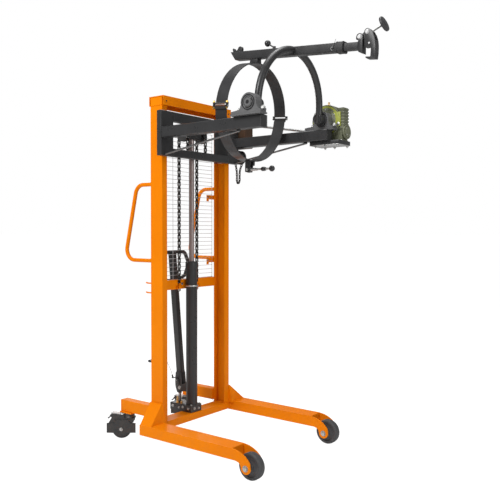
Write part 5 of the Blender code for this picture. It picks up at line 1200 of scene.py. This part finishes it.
    lever = Shape(CLAMP)
    u, v = -0.147, 0.3706
    top_at = Vector((-0.197, 0, 0.407))
    lever.rod((u, 0, v), (u, 0, v + 0.016), 0.010, sides=32, edge=0.0012)
    lever.rod((u, 0, v + 0.009), top_at, 0.0045, sides=24)
    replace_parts(lever.done("tube_lock_stem", DARK, "lock_lever"), "tube_lock_lever")
    Shape(CLAMP).ball(top_at, 0.019, 40).done("tube_lock_ball", BLACK, "lock_lever")

    latch = Shape(CLAMP)
    lu, lw = -0.257, -0.343
    y = -0.0185
    latch.lathe([(0.0065, -0.011), (0.0165, -0.011), (0.0180, -0.0095), (0.0180, 0.0095), (0.0165, 0.011), (0.0065, 0.011)], (lu, y, lw), (0, 1, 0), 40,
                closed=True)
    for k in range(12):
        t = 2 * math.pi * k / 12
        latch.tube([(lu + 0.0176 * math.cos(t), y - 0.0095, lw + 0.0176 * math.sin(t)), (lu + 0.0176 * math.cos(t), y + 0.0095, lw + 0.0176 * math.sin(t))],
                   0.0016, 8)
    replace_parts(latch.done("latch_ratchet", CAST, "latch_lever"), "latch_lever")
    start, tip = Vector((lu + 0.014, y, lw + 0.001)), Vector((-0.086, y, -0.330))
    run = tip - start
    stem = Shape(CLAMP)
    stem.rod(start, start + run * 0.30, 0.0098, 0.0085, 32, 0.0008)
    stem.rod(start + run * 0.30, start + run * 0.94, 0.0062, sides=28)
    stem.ring(start + run * 0.30, run, 0.0072, 0.0016, 28)
    stem.done("latch_stem", ZINC, "latch_lever")
    grips = Shape(CLAMP)
    grips.lathe([(0.0, 0.0), (0.0100, 0.0), (0.0128, 0.005), (0.0130, 0.020), (0.0105, 0.030), (0.0, 0.030)], start + run * 0.52, run, 32)
    grips.ball(tip, 0.0178, 36)
    grips.done("latch_grip", BLACK, "latch_lever")
    ear = Shape(CLAMP)
    ear.bolt((lu, -0.0368, lw), (0, -1, 0), 0.014, 0.005)
    ear.done("latch_bolt", ZINC, "door_right")


def handle_pieces():
    """The push handles as smooth bent tubes."""
    path = HANDLE_PATH
    for side in (-1, 1):
        name = side_name(side)
        run = rounded([(x, side * 0.300, z) for x, z in path], 0.068, 12)
        made = Shape().tube(run, 0.0125, 24).done("push_bar_" + name, ORANGE, "mast")
        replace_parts(made, "push_handle_" + name)


# Stage


def lamp(name, at, target, size, watts, colour=(1.0, 1.0, 1.0)):
    """A square soft lamp."""
    data = bpy.data.lights.new(name, "AREA")
    data.shape = "SQUARE"
    data.size = size
    data.energy = watts
    data.color = colour
    obj = bpy.data.objects.new(name, data)
    bpy.context.scene.collection.objects.link(obj)
    obj.location = at
    obj.rotation_euler = (Vector(target) - Vector(at)).to_track_quat("-Z", "Y").to_euler()


def stage():
    """Floor, world, lamps and camera."""
    scene = bpy.context.scene
    mesh = bpy.data.meshes.new("floor")
    mesh.from_pydata([(-150, -150, 0), (150, -150, 0), (150, 150, 0), (-150, 150, 0)], [], [(0, 1, 2, 3)])
    floor = bpy.data.objects.new("floor", mesh)
    scene.collection.objects.link(floor)
    look = bpy.data.materials.new("pale_floor")
    look.use_nodes = True
    nodes, links = look.node_tree.nodes, look.node_tree.links
    shader = nodes["Principled BSDF"]
    shader.inputs["Base Color"].default_value = (0.88, 0.88, 0.88, 1.0)
    shader.inputs["Roughness"].default_value = 0.9
    shader.inputs["Specular IOR Level"].default_value = 0.0
    glow = nodes.new("ShaderNodeEmission")
    glow.inputs["Strength"].default_value = 1.22
    path = nodes.new("ShaderNodeLightPath")
    share = nodes.new("ShaderNodeMath")
    share.operation = "MULTIPLY"
    share.inputs[1].default_value = 0.78
    mix = nodes.new("ShaderNodeMixShader")
    links.new(path.outputs["Is Camera Ray"], share.inputs[0])
    links.new(share.outputs[0], mix.inputs[0])
    links.new(shader.outputs[0], mix.inputs[1])
    links.new(glow.outputs[0], mix.inputs[2])
    links.new(mix.outputs[0], nodes["Material Output"].inputs["Surface"])
    floor.data.materials.append(look)

    world = bpy.data.worlds.new("studio")
    world.use_nodes = True
    nodes, links = world.node_tree.nodes, world.node_tree.links
    back = nodes["Background"]
    back.inputs["Color"].default_value = (1.0, 1.0, 1.0, 1.0)
    back.inputs["Strength"].default_value = 0.34
    white = nodes.new("ShaderNodeBackground")
    white.inputs["Color"].default_value = (1.0, 1.0, 1.0, 1.0)
    white.inputs["Strength"].default_value = 1.0
    path = nodes.new("ShaderNodeLightPath")
    clear = nodes.new("ShaderNodeMath")
    clear.operation = "MAXIMUM"
    mix = nodes.new("ShaderNodeMixShader")
    links.new(path.outputs["Is Camera Ray"], clear.inputs[0])
    links.new(path.outputs["Is Transmission Ray"], clear.inputs[1])
    links.new(clear.outputs[0], mix.inputs[0])
    links.new(back.outputs[0], mix.inputs[1])
    links.new(white.outputs[0], mix.inputs[2])
    links.new(mix.outputs[0], nodes["World Output"].inputs["Surface"])
    scene.world = world

    lamp("key", (-0.5, -5.2, 5.1), (0.0, 0.0, 1.2), 2.4, 296)
    lamp("side", (4.6, -0.6, 2.6), (0.1, 0.0, 1.3), 1.8, 58)
    lamp("top", (0.0, 0.4, 5.6), (0.0, 0.0, 0.0), 2.8, 125)
    lamp("rear", (-4.0, 2.5, 3.0), (0.0, 0.0, 1.2), 2.2, 70)

    view = scene.view_settings
    view.view_transform = "Standard"

    place = (2.9359, -3.2673, 1.3527)
    yaw, pitch, roll = math.radians(127.488), math.radians(1.730), math.radians(0.087)
    forward = Vector((math.cos(pitch) * math.cos(yaw), math.cos(pitch) * math.sin(yaw), -math.sin(pitch)))
    right = forward.cross(Vector((0, 0, 1))).normalized()
    up = right.cross(forward)
    across = right * math.cos(roll) + up * math.sin(roll)
    over = up * math.cos(roll) - right * math.sin(roll)
    data = bpy.data.cameras.new("camera")
    data.sensor_width = 36.0
    data.lens = 673.88 / 500 * 36.0
    data.clip_end = 600.0
    camera = bpy.data.objects.new("camera", data)
    scene.collection.objects.link(camera)
    turn = Matrix((across, over, -forward)).transposed().to_4x4()
    camera.matrix_world = Matrix.Translation(MAST @ Vector(place)) @ turn
    scene.camera = camera


dress_nodes()
mast_pieces()
rolling_pieces()
chain_pieces()
pump_pieces()
carriage_pieces()
clamp_pieces()
handle_pieces()
stage()
